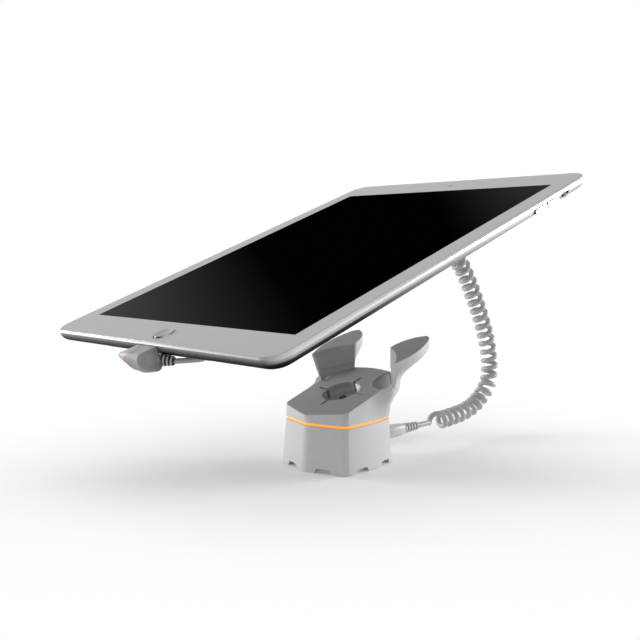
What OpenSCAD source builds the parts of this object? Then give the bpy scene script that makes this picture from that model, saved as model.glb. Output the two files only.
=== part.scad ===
// Tablet security display stand: a wedge-fronted base with two forked arms and a round
// dock cup, a tablet held by a puck, a charging lead and a curly tether cord.
// Millimetres, +Z up. The origin is on the counter, below the centre of the dock cup.
// The tablet is shown lifted off the dock; it slides down along the dock axis.

/* [Base] */
// Height of the lower housing
lower_h = 23.4; // [20:0.2:27]
// Height of the glowing band
band_h = 1.6; // [1:0.1:2.4]
// Distance from the dock axis to the front edge at band level
front_y = 26.3; // [25:0.1:29]
// Half width of the front corner at band level
corner_x = 21.2; // [20.4:0.1:22.2]
// Distance from the dock axis to the front corner
corner_y = 20.4; // [19.4:0.1:21.4]
// Half width across the sides at band level
side_x = 22.4; // [22:0.1:24]
// Half width of the rear corner at band level
rear_x = 16.3; // [15.6:0.1:17.4]
// Distance from the dock axis to the rear corner
rear_y = 20.2; // [19:0.1:21.4]
// Distance from the dock axis to the rearmost point
back_y = 29.4; // [28.4:0.1:31]
// How much wider the foot is than the band
foot_flare = 1.065; // [1.03:0.005:1.09]
// Wall of the housings
wall = 2; // [1.6:0.1:2.2]
// Height of the notches between the feet
notch_h = 2.2; // [1.4:0.1:2.8]
// Width of the notches between the feet
notch_w = 10; // [7:0.5:11]

/* [Dock] */
// Slope of the dock and the tablet, degrees
tilt = 20; // [17:0.5:23]
// Height of the dock surface above the band, at the cup centre
dock_h = 13.54; // [12.6:0.1:16]
// Thickness of the top panel
panel_t = 3.2; // [2.4:0.1:3.6]
// Rim of the housing around the top panel
panel_lip = 0.6; // [0.4:0.1:1]
// Radius of the dock cup
cup_r = 10.6; // [10.4:0.1:11.4]
// Depth of the dock cup
cup_d = 6; // [5.6:0.1:7]
// Outer reach of the four key slots
slot_r = 16.5; // [16.2:0.1:17.2]
// Width of the four key slots
slot_w = 1.8; // [1.6:0.1:2.4]
// Depth of the scoops beside the arms
scoop_d = 2.2; // [1:0.1:2.4]
// Radius of the scoops beside the arms
scoop_r = 4.3; // [3.8:0.1:5]

/* [Arms] */
// Height of the arm tops above the dock surface
arm_h = 12.9; // [12.4:0.1:15]
// Distance of the inner arm faces from the dock axis
arm_face = 26.6; // [26.4:0.1:27.4]
// Outer end of an arm face at the top, across from the dock axis
arm_out_x = 30.2; // [29:0.1:31]
// Outer end of an arm face at the foot, across from the dock axis
foot_out_x = 27.3; // [26.5:0.1:28]
// Inner end of an arm face, across from the dock axis
arm_in_x = 13.2; // [12.8:0.1:14]
// How far the arm tips reach behind the dock axis
tip_y = 40.8; // [39:0.1:43]
// Distance of the arm tips from the middle
tip_x = 25.5; // [24:0.1:27]
// Thickness of the arm necks
neck_t = 4.8; // [4.2:0.1:5.6]
// Thickness of the arm tips
tip_t = 5.8; // [5:0.1:7]
// Thickness of the grip pad on an arm face
pad_face_t = 1.2; // [0.8:0.1:1.6]
// Thickness of the grip pad on an arm top
pad_top_t = 1.2; // [0.8:0.1:1.6]
// Radius of the bevel that clears the puck flange
bevel_r = 33; // [32:0.1:34]

/* [Puck] */
// Radius of the puck body
puck_r = 24; // [22:0.1:24.8]
// Radius of the puck flange against the tablet
flange_r = 29; // [27:0.1:29.6]
// Height of the puck cap
cap_h = 6.4; // [6.2:0.1:7]
// Thickness of the adhesive disc
tape_t = 1; // [0.6:0.1:1.2]
// Radius of the boss that drops into the cup
boss_r = 9; // [8.4:0.1:9.2]
// Depth that the boss reaches into the cup
boss_d = 5.2; // [4.4:0.1:5.3]

/* [Tablet] */
// Width of the tablet
tab_w = 169.5; // [165:0.5:175]
// Length of the tablet
tab_l = 240; // [236:0.5:246]
// Thickness of the tablet
tab_t = 7.5; // [7.3:0.1:8.5]
// Radius of the tablet corners
tab_r = 10; // [8:0.5:14]
// Radius of the soft lower edge
edge_r = 5.5; // [4:0.1:5.8]
// Border beside the screen
border_side = 10.85; // [9:0.05:12]
// Border above and below the screen
border_end = 21.45; // [20:0.05:23]
// Thickness of the front glass
glass_t = 0.9; // [0.6:0.1:1.1]
// Metal edge around the front glass
rim_w = 1; // [0.6:0.1:1.4]
// Radius of the home button
home_r = 5.1; // [4.5:0.1:6]
// Distance from the tablet centre up to the dock axis, along the tablet
tablet_shift = 17.7; // [14:0.1:20]
// How far the tablet is lifted off the dock
lift_travel = 53.6; // [45:0.1:55]

/* [Cord] */
// Diameter of the cord strand
strand_d = 3.1; // [2.6:0.1:3.2]
// Radius of the curls, to the middle of the strand
curl_r = 4; // [3.8:0.05:4.2]
// Number of close curls
curls = 36; // [31:1:37]
// Diameter of the charging lead
lead_d = 2.4; // [2:0.1:2.6]

/* [Hidden] */
$fn = 48;
eps = 0.01;
fit = 0.2;
dock_gap = 0.3;
ramp = tan(tilt);
plane_up = 1 / cos(tilt);
band_top = lower_h + band_h;
dock_z = band_top + dock_h;
screen_w = tab_w - 2 * border_side;
screen_l = tab_l - 2 * border_end;
arm_sum = arm_face * sqrt(2);
diag = sqrt(0.5);
floor_z = 3.4;
floor_t = 1.6;
foam_t = 1.2;
plate_t = floor_z - foam_t;
post_r = 3;
screw_r = 1;
head_r = 2.2;
head_h = 1.3;
screw_xy = [[17.4, -14.5], [10.4, 19.4]];
plate_xy = [[12, -10], [12, 8]];
board_z = 12;
board_t = 1.2;
cord_z = 10.9;
plug_w = 8;
plug_h = 6.8;
plug_len = 20;
boot_len = 13.4;
plug_y = back_y * 1.036;
cord_y0 = plug_y + plug_len + boot_len;
jack_w = 11;
jack_h = 8.6;
jack_open_w = 6.4;
jack_open_h = 4.6;
tablet_w0 = arm_h + dock_gap + tab_t + lift_travel;
puck_top = arm_h + dock_gap;
cap_w = 0.6;
cap_top = cap_w + cap_h;
flange_top = puck_top - tape_t;
tether_w = 3.9;
tether_r = 3;
tether_len = 14;
lead_w = flange_top - 2.1;
outlet_r = 2;
outlet_end = flange_r + 0.6;
floor_w = tab_t - 0.9;
port_w = -4;
button_w = -3.8;
grille_x = 24;
grille_l = 31.5;

// Points along a shallow bow from a to b that bulges to the right by sag
function bow(a, b, sag, n) = let (c = b - a, l = norm(c), out = [c[1], -c[0]] / l)
    [for (i = [0 : n]) let (t = i / n) a + c * t + out * (4 * sag * t * (1 - t))];

// Closes a half outline that starts on the middle line by adding its mirror image
function mirrored(pts) = [for (i = [len(pts) - 1 : -1 : 1]) [-pts[i][0], pts[i][1]]];
function tail_cut(pts) = [for (i = [1 : len(pts) - 2]) pts[i]];

// Plan of the base at band level, right half from the front edge to the rear corner
rear_a = [rear_x, rear_y];
rear_b = [-rear_x, rear_y];
band_half = concat(
    bow([0, -front_y], [corner_x, -corner_y], 0.2, 6),
    bow([side_x, -corner_y + 2.6], rear_a, 1.9, 8));
band_plan = concat(band_half, tail_cut(bow(rear_a, rear_b, back_y - rear_y, 14)), mirrored(band_half));

// Plan of the base at the dock surface: its rear corners follow the arm faces
cut_x = 13.9;
cut_sum = arm_sum + 1.2;
top_side = side_x + 0.5;
cut_a = [cut_x, cut_sum - cut_x];
cut_b = [-cut_x, cut_sum - cut_x];
top_half = concat(
    bow([0, -front_y - 0.2], [corner_x - 0.2, -corner_y + 0.2], 0.2, 6),
    bow([top_side, -corner_y + 2.6], [top_side, cut_sum - top_side], 0.2, 7), [cut_a]);
top_plan = concat(top_half, tail_cut(bow(cut_a, cut_b, 1.6, 14)), mirrored(top_half));

// Plan of one arm head: a leaf with a straight inner edge
leaf_plan = concat(
    bow([arm_out_x, arm_sum - arm_out_x], [tip_x + 3.3, tip_y - 2.2], 3.9, 8),
    bow([tip_x, tip_y], [arm_in_x, arm_sum - arm_in_x], 3.2, 7));

// A polygon laid parallel to the dock surface, with upright sides
module slab(z0, t) {
    multmatrix([[1, 0, 0, 0], [0, 1, 0, 0], [0, ramp, 1, z0], [0, 0, 0, 1]])
        linear_extrude(t) children();
}

// Frames: the dock surface, the lifted puck and the lifted tablet
module on_dock() {
    translate([0, 0, dock_z]) rotate([tilt, 0, 0]) children();
}
module on_puck() {
    on_dock() translate([0, 0, lift_travel]) children();
}
module on_tablet() {
    on_dock() translate([0, tablet_shift, tablet_w0]) children();
}
module both_sides() {
    children();
    mirror([1, 0, 0]) children();
}

// A strip beside the inner face of the right arm, from d0 to d1 behind it
module strip(xa, xb, d0, d1) {
    a = [xa, arm_sum - xa];
    b = [xb, arm_sum - xb];
    k = [diag, diag];
    polygon([a + k * d0, b + k * d0, b + k * d1, a + k * d1]);
}

// Tapered outline of the lower housing, shrunk by inset, between two heights
function flare(z) = foot_flare + (1 - foot_flare) * z / lower_h;
module skirt(inset, z0, z1) {
    translate([0, 0, z0]) linear_extrude(z1 - z0, scale = flare(z1) / flare(z0))
        offset(delta = -inset) scale(flare(z0)) polygon(band_plan);
}

// Solid between two outlines with the same number of points
module loft(low, high) {
    n = len(low);
    polyhedron(points = concat(low, high), faces = concat(
        [[for (i = [0 : n - 1]) i], [for (i = [0 : n - 1]) 2 * n - 1 - i]],
        [for (i = [0 : n - 1]) let (j = (i + 1) % n)
            for (f = [[i, i + n, j + n], [i, j + n, j]]) f]));
}

module notch(x, y, turn) {
    translate([x, y, 0]) rotate([90, 0, turn]) linear_extrude(8, center = true)
        polygon([[-notch_w / 2, -1], [notch_w / 2, -1], [notch_w / 2, 0],
            [notch_w / 2 - 1.2, notch_h], [1.2 - notch_w / 2, notch_h], [-notch_w / 2, 0]]);
}

module lower_housing() {
    color([0.80, 0.80, 0.80]) difference() {
        union() {
            difference() {
                skirt(0, 0, lower_h);
                skirt(wall, floor_z + floor_t, lower_h + 1);
                skirt(wall, -1, floor_z);
            }
            both_sides() for (p = screw_xy)
                translate([p[0], p[1], floor_z]) cylinder(r = post_r, h = lower_h - floor_z);
        }
        both_sides() {
            for (p = screw_xy) translate([p[0], p[1], 0]) {
                cylinder(r = screw_r + 0.05, h = lower_h + 1);
                cylinder(r = head_r + fit, h = floor_z + 2);
            }
            for (p = plate_xy) translate([p[0], p[1], 0]) cylinder(r = screw_r, h = floor_z + 3);
            notch(11.5, -25.5, 16);
            notch(24, -8, 88);
            notch(21, 14, 108);
        }
        translate([-jack_w / 2 - eps, back_y - 9, cord_z - jack_h / 2 - eps])
            cube([jack_w + 2 * eps, 20, jack_h + 2 * eps]);
    }
}

module adhesive_foam() {
    color([0.25, 0.25, 0.26]) linear_extrude(foam_t)
        offset(delta = -wall - 1) scale(foot_flare) polygon(band_plan);
}

module base_plate() {
    color([0.72, 0.72, 0.73]) difference() {
        translate([0, 0, foam_t]) linear_extrude(plate_t)
            offset(delta = -wall - 0.3) scale(foot_flare) polygon(band_plan);
        both_sides() for (p = plate_xy) translate([p[0], p[1], 0]) {
            cylinder(r = screw_r + 0.05, h = 9);
            cylinder(r = head_r + fit, h = foam_t + head_h);
        }
    }
}

module plate_screws() {
    color([0.55, 0.55, 0.57]) both_sides() for (p = plate_xy) translate([p[0], p[1], foam_t]) {
        cylinder(r = head_r, h = head_h);
        cylinder(r = screw_r - 0.02, h = floor_z + floor_t - foam_t);
    }
}

module housing_screws() {
    color([0.55, 0.55, 0.57]) both_sides() for (p = screw_xy)
        translate([p[0], p[1], floor_z + 2 - head_h]) {
            cylinder(r = head_r, h = head_h);
            cylinder(r = screw_r, h = lower_h + 3.2 - floor_z);
        }
}

module light_band() {
    color([1, 0.62, 0.2]) translate([0, 0, lower_h]) linear_extrude(band_h) difference() {
        offset(delta = -0.5) polygon(band_plan);
        offset(delta = 0.1 - wall) polygon(band_plan);
    }
}

module led_strip() {
    color([0.9, 0.9, 0.8]) {
        translate([0, 0, lower_h]) linear_extrude(band_h) difference() {
            offset(delta = 0.1 - wall) polygon(band_plan);
            offset(delta = -0.3 - wall) polygon(band_plan);
        }
        translate([0, 0, lower_h]) linear_extrude(band_h) intersection() {
            difference() {
                offset(delta = -0.3 - wall) polygon(band_plan);
                offset(delta = -1.3 - wall) polygon(band_plan);
            }
            for (y = [-7, 2]) translate([-30, y]) square([60, 2.4]);
        }
    }
}

// Right arm: the neck rises from the rear corner of the base and carries the leaf head
slice = 0.6;
foot_end = foot_out_x - 0.4;
neck_end = arm_in_x - 0.1;
module arm_body() {
    difference() {
        union() {
            hull() {
                translate([0, 0, band_top + 1.5]) linear_extrude(slice)
                    polygon([[rear_x + 1.6, rear_y - 2.7], [rear_x - 2.8, rear_y + 2.1],
                        [rear_x - 5, rear_y], [rear_x - 0.6, rear_y - 4.8]]);
                slab(dock_z - slice - 0.3, slice) strip(foot_end, neck_end, -5.8, neck_t - 0.3);
            }
            hull() {
                slab(dock_z - 3 * slice, slice) strip(foot_end, neck_end, 0, neck_t - 0.2);
                slab(dock_z + (arm_h - tip_t + 1) * plane_up, slice)
                    strip(arm_out_x - 1.5, neck_end, 0, neck_t);
            }
            hull() {
                slab(dock_z + (arm_h - tip_t + 1.6) * plane_up, (tip_t - 1.6) * plane_up)
                    polygon(leaf_plan);
                slab(dock_z + (arm_h - tip_t) * plane_up, slice) intersection() {
                    offset(delta = -1.2) polygon(leaf_plan);
                    strip(60, -30, 0, 60);
                }
            }
        }
        bevel(0);
        scoop();
    }
}
module bevel(grow) {
    on_dock() translate([0, 0, arm_h - 8])
        cylinder(r1 = bevel_r - 8 + grow, r2 = bevel_r + 4 + grow, h = 12);
}

// Everything of the arm that is grip pad: the inner face, the bevel and the top
module pad_zone() {
    slab(dock_z + 3, 26) strip(60, -30, -6, pad_face_t);
    slab(dock_z + (arm_h - pad_top_t) * plane_up, 6) pad_plan();
    intersection() {
        slab(dock_z + (arm_h - 6) * plane_up, 12) pad_plan();
        bevel(pad_top_t * sqrt(2));
    }
}
module pad_plan() {
    intersection() {
        offset(delta = -0.3) polygon(leaf_plan);
        strip(60, -30, 0.3, 60);
    }
}
module pad_shape() {
    intersection() {
        arm_body();
        pad_zone();
    }
}

// Plan inside the housing rim, cut off beside the arms at the given distance sum
module panel_plan(inset, edge) {
    intersection() {
        offset(delta = -inset) polygon(top_plan);
        polygon([[-60, -60], [60, -60], [60, edge - 60], [edge - 13.5, 13.5], [edge - 24, 24],
            [edge - 24, 60], [24 - edge, 60], [24 - edge, 24], [13.5 - edge, 13.5], [-60, edge - 60]]);
    }
}

// Lifts a plan to the dock surface
function on_slope(plan, z) = [for (p = plan) [p[0], p[1], z + ramp * p[1]]];
function on_level(plan, z) = [for (p = plan) [p[0], p[1], z]];
panel_drop = panel_t * plane_up;

module upper_housing() {
    color([0.82, 0.82, 0.82]) difference() {
        union() {
            difference() {
                union() {
                    difference() {
                        loft(on_level(band_plan, band_top), on_slope(top_plan, dock_z));
                        hull() {
                            translate([0, 0, band_top - 1]) linear_extrude(2)
                                offset(delta = -wall) polygon(band_plan);
                            slab(dock_z - panel_drop - 1, 3) panel_plan(wall, arm_sum - 2.5);
                        }
                    }
                    both_sides() difference() {
                        arm_body();
                        pad_zone();
                    }
                }
                slab(dock_z - panel_drop, 5) panel_plan(panel_lip, arm_sum - 0.3);
                both_sides() scoop();
            }
            both_sides() for (p = screw_xy) translate([p[0], p[1], band_top]) {
                cylinder(r = post_r + 1, h = p[1] < 0 ? 3.5 : 8);
                translate([0, 0, -band_h]) cylinder(r = post_r - 0.6, h = band_h + 1);
            }
        }
        both_sides() for (p = screw_xy) translate([p[0], p[1], lower_h - 1])
            cylinder(r = screw_r + 0.05, h = 5);
    }
}

// Scoop along the foot of the right arm: it undercuts the arm face and, below the dock
// surface, stops short of the outer wall
scoop_in = 2.3;
module scoop() {
    side = arm_face - scoop_in;
    stop = foot_end * sqrt(2) - arm_face - 0.9;
    on_dock() rotate([0, 0, -45]) translate([0, side, scoop_r - scoop_d]) rotate([0, 90, 0]) {
        intersection() {
            cylinder(r = scoop_r, h = 80, center = true);
            translate([-20 - scoop_d + scoop_r, 0, 0]) cube([40, 40, 90], center = true);
        }
        translate([0, 0, -40]) cylinder(r = scoop_r, h = 40 + stop);
    }
}

module key_slots(r0, w0, w1) {
    for (a = [0 : 90 : 270]) rotate([0, 0, a]) translate([r0, -slot_w / 2, w0])
        cube([slot_r - r0, slot_w, w1 - w0]);
}

module top_panel() {
    color([0.47, 0.47, 0.48]) difference() {
        slab(dock_z - panel_drop, panel_drop) panel_plan(panel_lip + 0.05, arm_sum - 0.7);
        both_sides() scoop();
        on_dock() {
            translate([0, 0, -panel_t - 2]) cylinder(r = cup_r, h = panel_t + 4);
            key_slots(cup_r - 2, -panel_t - 2, 2);
        }
    }
}

module arm_pad_right() {
    color([0.42, 0.42, 0.43]) pad_shape();
}
module arm_pad_left() {
    color([0.42, 0.42, 0.43]) mirror([1, 0, 0]) pad_shape();
}

cup_floor = 1.6;
skirt_r = cup_r + 0.8;
magnet_t = 3;
switch_top = -cup_d - cup_floor - 7;
module dock_cup() {
    color([0.40, 0.40, 0.41]) on_dock() difference() {
        union() {
            translate([0, 0, -cup_d - cup_floor])
                cylinder(r = slot_r + 1.5, h = cup_d + cup_floor - panel_t);
            translate([0, 0, switch_top]) cylinder(r = skirt_r, h = 7.5);
        }
        translate([0, 0, -cup_d]) cylinder(r = cup_r, h = cup_d);
        key_slots(cup_r - 2, -cup_d, 1);
        translate([0, 0, switch_top - 1]) cylinder(r = skirt_r - 1.6, h = 8);
        translate([0, 0, -cup_d - 3]) cylinder(r = plunger_r + 0.08, h = 6);
    }
}

// Ribbed contact carrier on the wall of the cup, front left
pin_turn = [-14, 0, 14];
module contact_block() {
    color([0.5, 0.5, 0.52]) on_dock() difference() {
        intersection() {
            translate([0, 0, -cup_d]) difference() {
                cylinder(r = cup_r, h = cup_d - 0.9);
                translate([0, 0, -1]) cylinder(r = cup_r - 1, h = cup_d + 2);
            }
            rotate([0, 0, 225]) translate([0, -5.4, -cup_d - 1]) cube([20, 10.8, 20]);
        }
        for (a = pin_turn) rotate([0, 0, 225 + a]) translate([cup_r - 1.1, -0.5, -4.4])
            cube([0.8, 1, 2.4]);
    }
}
module contact_pins() {
    color([0.85, 0.7, 0.35]) on_dock() for (a = pin_turn)
        rotate([0, 0, 225 + a]) translate([cup_r - 0.95, -0.5, -4.4]) cube([0.6, 1, 2.4]);
}

// Pale guide key on the wall of the cup, rear right
module guide_key() {
    color([0.78, 0.78, 0.78]) on_dock() intersection() {
        translate([0, 0, -cup_d]) difference() {
            cylinder(r = cup_r, h = cup_d - 0.3);
            translate([0, 0, -1]) cylinder(r = cup_r - 1.1, h = cup_d + 2);
        }
        rotate([0, 0, 45]) translate([0, -5.2, -cup_d - 1]) cube([20, 10.4, 20]);
    }
}

module dock_magnet() {
    color([0.6, 0.6, 0.62]) on_dock() translate([0, 0, -cup_d - cup_floor - magnet_t]) difference() {
        cylinder(r = skirt_r - 1.7, h = magnet_t);
        translate([0, 0, -1]) cylinder(r = 4.2, h = magnet_t + 2);
    }
}

plunger_r = 2;
plunger_top = -cup_d + 2.4;
plunger_travel = 1.2;
collar_top = -cup_d - cup_floor;
collar_h = 0.9;
module sense_plunger() {
    color([0.2, 0.2, 0.21]) on_dock() {
        translate([0, 0, switch_top + plunger_travel + 0.3])
            cylinder(r = plunger_r, h = plunger_top - switch_top - plunger_travel - 0.3);
        translate([0, 0, collar_top - collar_h - 0.1]) cylinder(r = 3.4, h = collar_h);
    }
}
spring_wire = 0.5;
spring_r = 2.75;
spring_turns = 5;
spring_h = collar_top - collar_h - 0.1 - switch_top;
spring_path = [for (k = [0 : spring_turns * 12]) let (a = 30 * k, t = k / (spring_turns * 12))
    [spring_r * cos(a), spring_r * sin(a), spring_wire / 2 + t * (spring_h - spring_wire)]];
module plunger_spring() {
    color([0.7, 0.7, 0.72]) on_dock() translate([0, 0, switch_top])
        tube(spring_path, spring_wire, 6, [0, 0, 1]);
}
module sense_switch() {
    color([0.15, 0.15, 0.16]) on_dock() translate([0, 0, switch_top - 2.4]) cylinder(r = skirt_r, h = 2.4);
}

module main_board() {
    color([0.1, 0.4, 0.25]) {
        difference() {
            translate([0, 0, board_z]) linear_extrude(board_t) intersection() {
                offset(delta = -wall - 0.6) polygon(band_plan);
                translate([-30, -40]) square([60, 40 + back_y - 12]);
            }
            both_sides() for (p = screw_xy) translate([p[0], p[1], 0])
                cylinder(r = post_r + 0.3, h = 40);
        }
        translate([4, 2, board_z + board_t]) cube([8, 8, 1]);
        translate([-4, 12, board_z + board_t]) cube([9, 4, 1.4]);
    }
}
module backup_battery() {
    color([0.2, 0.3, 0.6]) translate([-13, -14, floor_z + floor_t])
        cube([26, 24, board_z - floor_z - floor_t]);
}
module alarm_buzzer() {
    color([0.12, 0.12, 0.12]) translate([-9, 8, board_z + board_t]) difference() {
        cylinder(r = 5, h = 4);
        translate([0, 0, 3]) cylinder(r = 1, h = 2);
    }
}

module cord_jack() {
    color([0.15, 0.15, 0.16]) difference() {
        translate([-jack_w / 2, back_y - 9, cord_z - jack_h / 2])
            cube([jack_w, plug_y - 1 - back_y + 9, jack_h]);
        translate([-jack_open_w / 2, back_y - 7, cord_z - jack_open_h / 2])
            cube([jack_open_w, 20, jack_open_h]);
    }
}

// A rounded bar along +Y
module bar(w, h, r, l) {
    rotate([-90, 0, 0]) linear_extrude(l) offset(r = r, $fn = 24) square([w - 2 * r, h - 2 * r], center = true);
}
module cord_plug() {
    color([0.72, 0.72, 0.72]) {
        translate([0, plug_y, cord_z]) hull() {
            bar(plug_w, plug_h, 2, 12);
            bar(plug_w - 1.6, plug_h - 0.8, 2.2, plug_len);
        }
        translate([0, plug_y - 6, cord_z]) bar(jack_open_w - 0.4, jack_open_h - 0.4, 0.4, 6);
    }
}

// Tapered strain relief along +Z: r0 at the root, r1 at the tip, with ribs
module boot(r0, r1, l, ribs) {
    step = l / ribs;
    cylinder(r1 = r0 * 0.84, r2 = r1 * 0.84, h = l);
    for (i = [0 : ribs - 1]) translate([0, 0, i * step])
        cylinder(r = r0 + (r1 - r0) * i / ribs, h = step * 0.7);
}
module cord_boot() {
    color([0.66, 0.66, 0.66]) translate([0, plug_y + plug_len, cord_z]) rotate([-90, 0, 0])
        boot(3, 2.2, boot_len, 5);
}
module puck_boot() {
    color([0.66, 0.66, 0.66]) on_puck() translate([0, puck_r, tether_w]) rotate([-90, 0, 0])
        boot(tether_r, 2.1, tether_len, 5);
}

// Route of the curly cord in the plane x = 0, as [y, z], from the base plug to the puck
tether_end = [cos(tilt) * (puck_r + tether_len) - sin(tilt) * (tether_w + lift_travel),
    dock_z + sin(tilt) * (puck_r + tether_len) + cos(tilt) * (tether_w + lift_travel)];
route = [[cord_y0, cord_z], [72, 11], [80, 11.4], [89.5, 11.4], [100.9, 12.3], [107, 13],
    [114, 14.6], [120.5, 17], [126, 20.4], [130, 23.5], [134, 28.2], [135.4, 33.4],
    [135.7, 40.8], [134.6, 47.8], [132.8, 53.7], [130.7, 59.8], [125.3, 71.4], [119.3, 81.9],
    [113.4, 91.6], [107, 100.8], [103.5, 104.7], [95, 110.8], [85, 115], [75, 117],
    [65, 117.3], [55, 116.4], [45, 114.6], [35, 112], [25, 108.8], tether_end];

function smooth(p, i, t) = let (n = len(p) - 1, a = p[max(i - 1, 0)], b = p[i], c = p[min(i + 1, n)],
    d = p[min(i + 2, n)])
    0.5 * (2 * b + (c - a) * t + (2 * a - 5 * b + 4 * c - d) * t * t
        + (3 * b - a - 3 * c + d) * t * t * t);
fine = 5;
track = [for (i = [0 : len(route) - 2]) for (j = [0 : fine - 1]) smooth(route, i, j / fine),
    route[len(route) - 1]];
function lengths(p, i = 0, s = 0, out = []) = i >= len(p) ? out :
    lengths(p, i + 1, i + 1 < len(p) ? s + norm(p[i + 1] - p[i]) : s, concat(out, [s]));
reach = lengths(track);
track_len = reach[len(reach) - 1];
y_table = [for (i = [0 : len(track) - 1]) [reach[i], track[i][0]]];
z_table = [for (i = [0 : len(track) - 1]) [reach[i], track[i][1]]];
function spot(s) = [0, lookup(s, y_table), lookup(s, z_table)];
function heading(s) = let (d = spot(min(s + 1.5, track_len)) - spot(max(s - 1.5, 0))) d / norm(d);

// The strand runs straight, opens out over half a curl, winds, and closes again
straight = 3 * strand_d;
open_len = 11;
open_curls = 0.5;
wound_len = track_len - 2 * straight - 2 * open_len;
turns = curls + 2 * open_curls;
function along(u) = u < open_curls ? straight + open_len * u / open_curls :
    u > turns - open_curls ? track_len - straight - open_len * (turns - u) / open_curls :
    straight + open_len + wound_len * (u - open_curls) / curls;
function opened(s) = let (e = min(s - straight, track_len - straight - s) / 9,
    t = min(max(e, 0), 1)) t * t * (3 - 2 * t);
function strand(u) = let (s = along(u), t = heading(s), up = [0, -t[2], t[1]], a = 360 * u + 180)
    spot(s) + curl_r * opened(s) * (cos(a) * up + sin(a) * [1, 0, 0]);
curl_rings = 8;
wound = [for (k = [0 : turns * curl_rings]) strand(k / curl_rings)];
head = spot(0);
tail = spot(track_len);
strand_path = concat([head, head + heading(0) * straight * 0.5], wound,
    [tail - heading(track_len) * straight * 0.5, tail]);

// Gap between neighbouring curls, from points a curl apart give or take half a curl
strand_gap = min([for (i = [2 : len(wound) - 1]) for (j = [i + 5 : min(i + 14, len(wound) - 1)])
    norm(wound[j] - wound[i])]) - strand_d;
echo(least_strand_gap = strand_gap, track_length = track_len);

function dir(p, i) = let (n = len(p) - 1, d = p[min(i + 1, n)] - p[max(i - 1, 0)]) d / norm(d);
function side_of(t, ref) = let (s = ref - t * (ref * t)) s / norm(s);
// Carries one side vector along the path so that the tube does not twist
function carry(p, i = 0, s = [0, 0, 1], out = []) = i >= len(p) ? out :
    let (q = side_of(dir(p, i), s)) carry(p, i + 1, q, concat(out, [q]));
module tube(p, d, sides, start) {
    n = len(p);
    across = carry(p, 0, start);
    rings = [for (i = [0 : n - 1]) let (t = dir(p, i), a = across[i], b = cross(t, a))
        for (k = [0 : sides - 1]) p[i] + d / 2 * (cos(360 * k / sides) * a + sin(360 * k / sides) * b)];
    walls = [for (i = [0 : n - 2]) for (k = [0 : sides - 1])
        let (a = i * sides + k, b = i * sides + (k + 1) % sides)
        for (f = [[a, a + sides, b], [b, a + sides, b + sides]]) f];
    caps = [for (k = [1 : sides - 2]) for (f = [[0, k, k + 1],
        [(n - 1) * sides, (n - 1) * sides + k + 1, (n - 1) * sides + k]]) f];
    polyhedron(points = rings, faces = concat(walls, caps));
}
module curly_cord() {
    color([0.6, 0.6, 0.6]) tube(strand_path, strand_d, 6, [0, 0, 1]);
}

module puck_cap() {
    color([0.8, 0.8, 0.8]) on_puck() difference() {
        union() {
            translate([0, 0, cap_w]) cylinder(r = puck_r, h = cap_h);
            translate([0, 0, -boss_d]) cylinder(r = boss_r, h = boss_d + 1);
            for (a = [0 : 90 : 270]) rotate([0, 0, a])
                translate([boss_r - 1, -slot_w / 2 + 0.3, -boss_d])
                    cube([slot_r - boss_r + 0.3, slot_w - 0.6, boss_d + 1]);
        }
        translate([0, 0, cap_w + 1.6]) cylinder(r = puck_r - wall - 3.5, h = 20);
        translate([0, 0, cap_w + 2.8]) cylinder(r = puck_r - wall, h = 20);
        translate([0, 0, -1.2]) cylinder(r = boss_r - 1, h = 8);
        translate([0, 0, -boss_d - 1]) cylinder(r = 4.6, h = boss_d - 0.6);
    }
}
module puck_flange() {
    color([0.8, 0.8, 0.8]) on_puck() difference() {
        union() {
            translate([0, 0, cap_top]) cylinder(r1 = puck_r, r2 = flange_r, h = flange_top - cap_top);
            translate([0, -outlet_end, lead_w]) rotate([-90, 0, 0]) cylinder(r = outlet_r, h = 5);
        }
        translate([0, 0, cap_top - 1]) cylinder(r = puck_r - wall, h = flange_top - cap_top - 0.2);
    }
}
module puck_foam() {
    color([0.2, 0.2, 0.2]) on_puck() translate([0, 0, flange_top]) cylinder(r = flange_r - 0.5, h = tape_t);
}
module puck_board() {
    color([0.1, 0.4, 0.25]) on_puck() {
        translate([0, 0, cap_w + 2.8]) cylinder(r = puck_r - wall - 0.3, h = 1.2);
        translate([-6, 4, cap_w + 4]) cube([12, 7, 1.4]);
        translate([-3, -12, cap_w + 4]) cube([6, 5, 1]);
    }
}
module puck_keeper() {
    color([0.6, 0.6, 0.62]) on_puck() translate([0, 0, -1.2]) cylinder(r = boss_r - 1.1, h = 2.4);
}

// Charging lead under the tablet, in the tablet's frame, from the puck to the connector boot
edge_v = -tab_l / 2;
lead_route = [[0, -tablet_shift - outlet_end, lead_w - puck_top - tab_t],
    [0, edge_v + 70, -10.4], [0.5, edge_v + 64, -9.6], [2, edge_v + 56, -9.1], [7, edge_v + 46, -9],
    [13, edge_v + 36, -9], [19, edge_v + 26, -9], [24, edge_v + 18, -9], [26.5, edge_v + 12.5, -9],
    [25, edge_v + 8.8, -9.3], [21, edge_v + 7.2, -9.5], [17, edge_v + 5.29, -9.33],
    [14.73, edge_v + 3.99, -9.09], [13, edge_v + 3, -8.9]];
lead_fine = [for (i = [0 : len(lead_route) - 2]) for (j = [0, 1]) smooth(lead_route, i, j / 2),
    lead_route[len(lead_route) - 1]];
module charge_lead() {
    color([0.7, 0.7, 0.7]) on_tablet() tube(lead_fine, lead_d, 8, [0, 0, 1]);
}

boot_root = [7.4, edge_v - 0.2, -8.3];
boot_tip = lead_route[len(lead_route) - 1];
module lead_boot() {
    d = boot_tip - boot_root;
    color([0.66, 0.66, 0.66]) on_tablet() translate(boot_root)
        rotate([0, acos(d[2] / norm(d)), atan2(d[1], d[0])]) boot(2.6, 1.7, norm(d), 4);
}

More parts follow.
